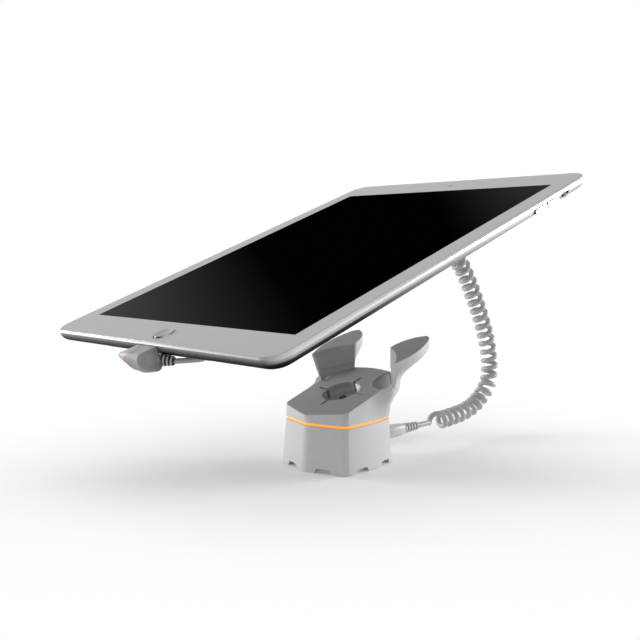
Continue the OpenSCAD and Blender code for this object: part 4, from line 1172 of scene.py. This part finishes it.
def small_parts():
    push_key("volume_up", "volume_up_key", "X", (SIDE - 3.2, VOL_UP_V, KEY_W))
    push_key("volume_down", "volume_down_key", "X", (SIDE - 3.2, VOL_DOWN_V, KEY_W))
    slider_v = MUTE_V - 1.5
    slider = bar("mute switch", "X", (SIDE - 3.2, slider_v, KEY_W), (3.6, 2, 0.95), 3.5)
    carve(slider, [bar("cut", "X", (SIDE + 0.15, slider_v + t, KEY_W), (0.25, 1.2, 0.1), 1) for t in (-0.7, 0, 0.7)])
    finished(slider, "mute_slider", DARK, "mute_switch", bevel=0.1, sharp=30)
    push_key("power_button", "power_key", "Y", (POWER_X, END - 3.2, KEY_W))
    dot = lathe("front camera", [(0, -2), (1.35, -2), (1.35, -0.12), (1.28, -0.05), (0.75, -0.05), (0.6, -0.18),
                                 (0, -0.3)], TABLET @ moved(0, CAMERA_V), 40)
    finished(dot, "tablet", LENS, "front_camera", sharp=30)
    lens = lathe("rear camera", [(0, -0.5), (1.8, -0.7), (2.2, -0.15), (3.7, 0.0), (4.1, 0.35), (4.1, 3), (0, 3)],
                 TABLET @ moved(LENS_X, LENS_V, -TAB_T + 0.7), 56)
    finished(lens, "tablet", LENS, "rear_camera", sharp=30)
    bars = [bar("speaker mesh", "Y", (s * 24, 1.5 - END, KEY_W + 0.3), (31.4, 1.9, 0.9), 0.8) for s in (1, -1)]
    finished(carve(bars[0], bars[1:], "UNION"), "tablet", DARK, "speaker_grilles", sharp=30)


puck()
connector()
tablet_shell()
glass()
display()
home_button()
small_parts()


# Pieces kept from the part as they are
for material, names in (
        (CUP, "dock_cup"), (BLOCK, "contact_block"), (GOLD, "contact_pins"), (KEY, "guide_key"),
        (DARK, "sense_plunger cord_jack sense_switch alarm_buzzer speaker_boxes"),
        (STEEL, "base_plate plate_screws housing_screws plunger_spring dock_magnet puck_keeper connector_tongue "
                "charge_port"),
        (FOAM, "puck_foam"), (PALE_FOAM, "adhesive_foam"), (WHITE, "led_strip"),
        (BOARD, "main_board puck_board logic_board"), (CELL, "backup_battery tablet_battery")):
    for name in names.split():
        nodes[name].data.materials.clear()
        nodes[name].data.materials.append(material)


# Floor and light
FLOOR_R, FLOOR_RINGS, FLOOR_SIDES = 1.4, 24, 96
AHEAD, ACROSS = 0.85, 0.46
FADE = (0.5, 1.0)
WORLD_LIGHT = 0.58


def floor():
    """A round table whose colour fades out to the backdrop."""
    bm = bmesh.new()
    rows = [[bm.verts.new((0, 0, 0))]]
    for i in range(1, FLOOR_RINGS + 1):
        ring = round_points(FLOOR_R * (i / FLOOR_RINGS) ** 1.6, FLOOR_SIDES)
        rows.append([bm.verts.new((x, y, 0)) for x, y in ring])
        skin(bm, rows[-1], rows[-2])
    table = as_object("table", bm)
    table.location = (-0.178, 0.174, -0.0002)
    table.rotation_euler = (0, 0, radians(45.7))
    mat = bpy.data.materials.new("table")
    mat.use_nodes = True
    tree = mat.node_tree
    tree.nodes.clear()
    where = add(tree, "TexCoord")
    wide = add(tree, "VectorMath", {0: where.outputs["Object"], 1: (1 / AHEAD, 1 / ACROSS, 0)}, operation="MULTIPLY")
    far = add(tree, "VectorMath", {0: wide.outputs["Vector"]}, operation="LENGTH")
    fade = add(tree, "MapRange", {"Value": far.outputs["Value"], "From Min": FADE[0], "From Max": FADE[1]},
               interpolation_type="SMOOTHSTEP")
    matte = add(tree, "BsdfDiffuse", {"Color": opaque(0.97)})
    clear = add(tree, "BsdfTransparent")
    mixed_shader(tree, fade.outputs["Result"], matte.outputs["BSDF"], clear.outputs["BSDF"], "OutputMaterial")
    table.data.materials.append(mat)


def world_light():
    """Even white light, behind which the camera sees plain white."""
    SCENE.world = bpy.data.worlds.new("studio")
    SCENE.world.use_nodes = True
    tree = SCENE.world.node_tree
    tree.nodes.clear()
    ambient, white = (add(tree, "Background", {"Color": opaque(1), "Strength": level_}).outputs["Background"]
                      for level_ in (WORLD_LIGHT, 1))
    mixed_shader(tree, add(tree, "LightPath").outputs["Is Camera Ray"], ambient, white, "OutputWorld")


def lamp(name, azimuth, height, reach, size, power):
    """A soft lamp seen from the stand at an azimuth and a height angle."""
    a, h = radians(azimuth), radians(height)
    aim = Vector((0, 0, 0.03))
    ahead = -Vector((cos(h) * cos(a), cos(h) * sin(a), sin(h)))
    data = bpy.data.lights.new(name, "AREA")
    data.shape = "RECTANGLE"
    data.size, data.size_y = size
    data.energy = power
    obj = bpy.data.objects.new(name, data)
    obj.location = aim - ahead * reach
    obj.rotation_euler = ahead.to_track_quat("-Z", "Y").to_euler()
    SCENE.collection.objects.link(obj)


floor()
world_light()
lamp("left", -155, 12, 1.4, (0.8, 0.5), 15)
lamp("right", 68, 12, 1.4, (0.8, 0.5), 15)
lamp("above", 150, 75, 1.5, (1.4, 1.4), 3)

SCENE.render.engine = "CYCLES"
SCENE.render.resolution_x = SCENE.render.resolution_y = 640
SCENE.render.resolution_percentage = 100
SCENE.cycles.samples = 96
SCENE.view_settings.view_transform = "Standard"
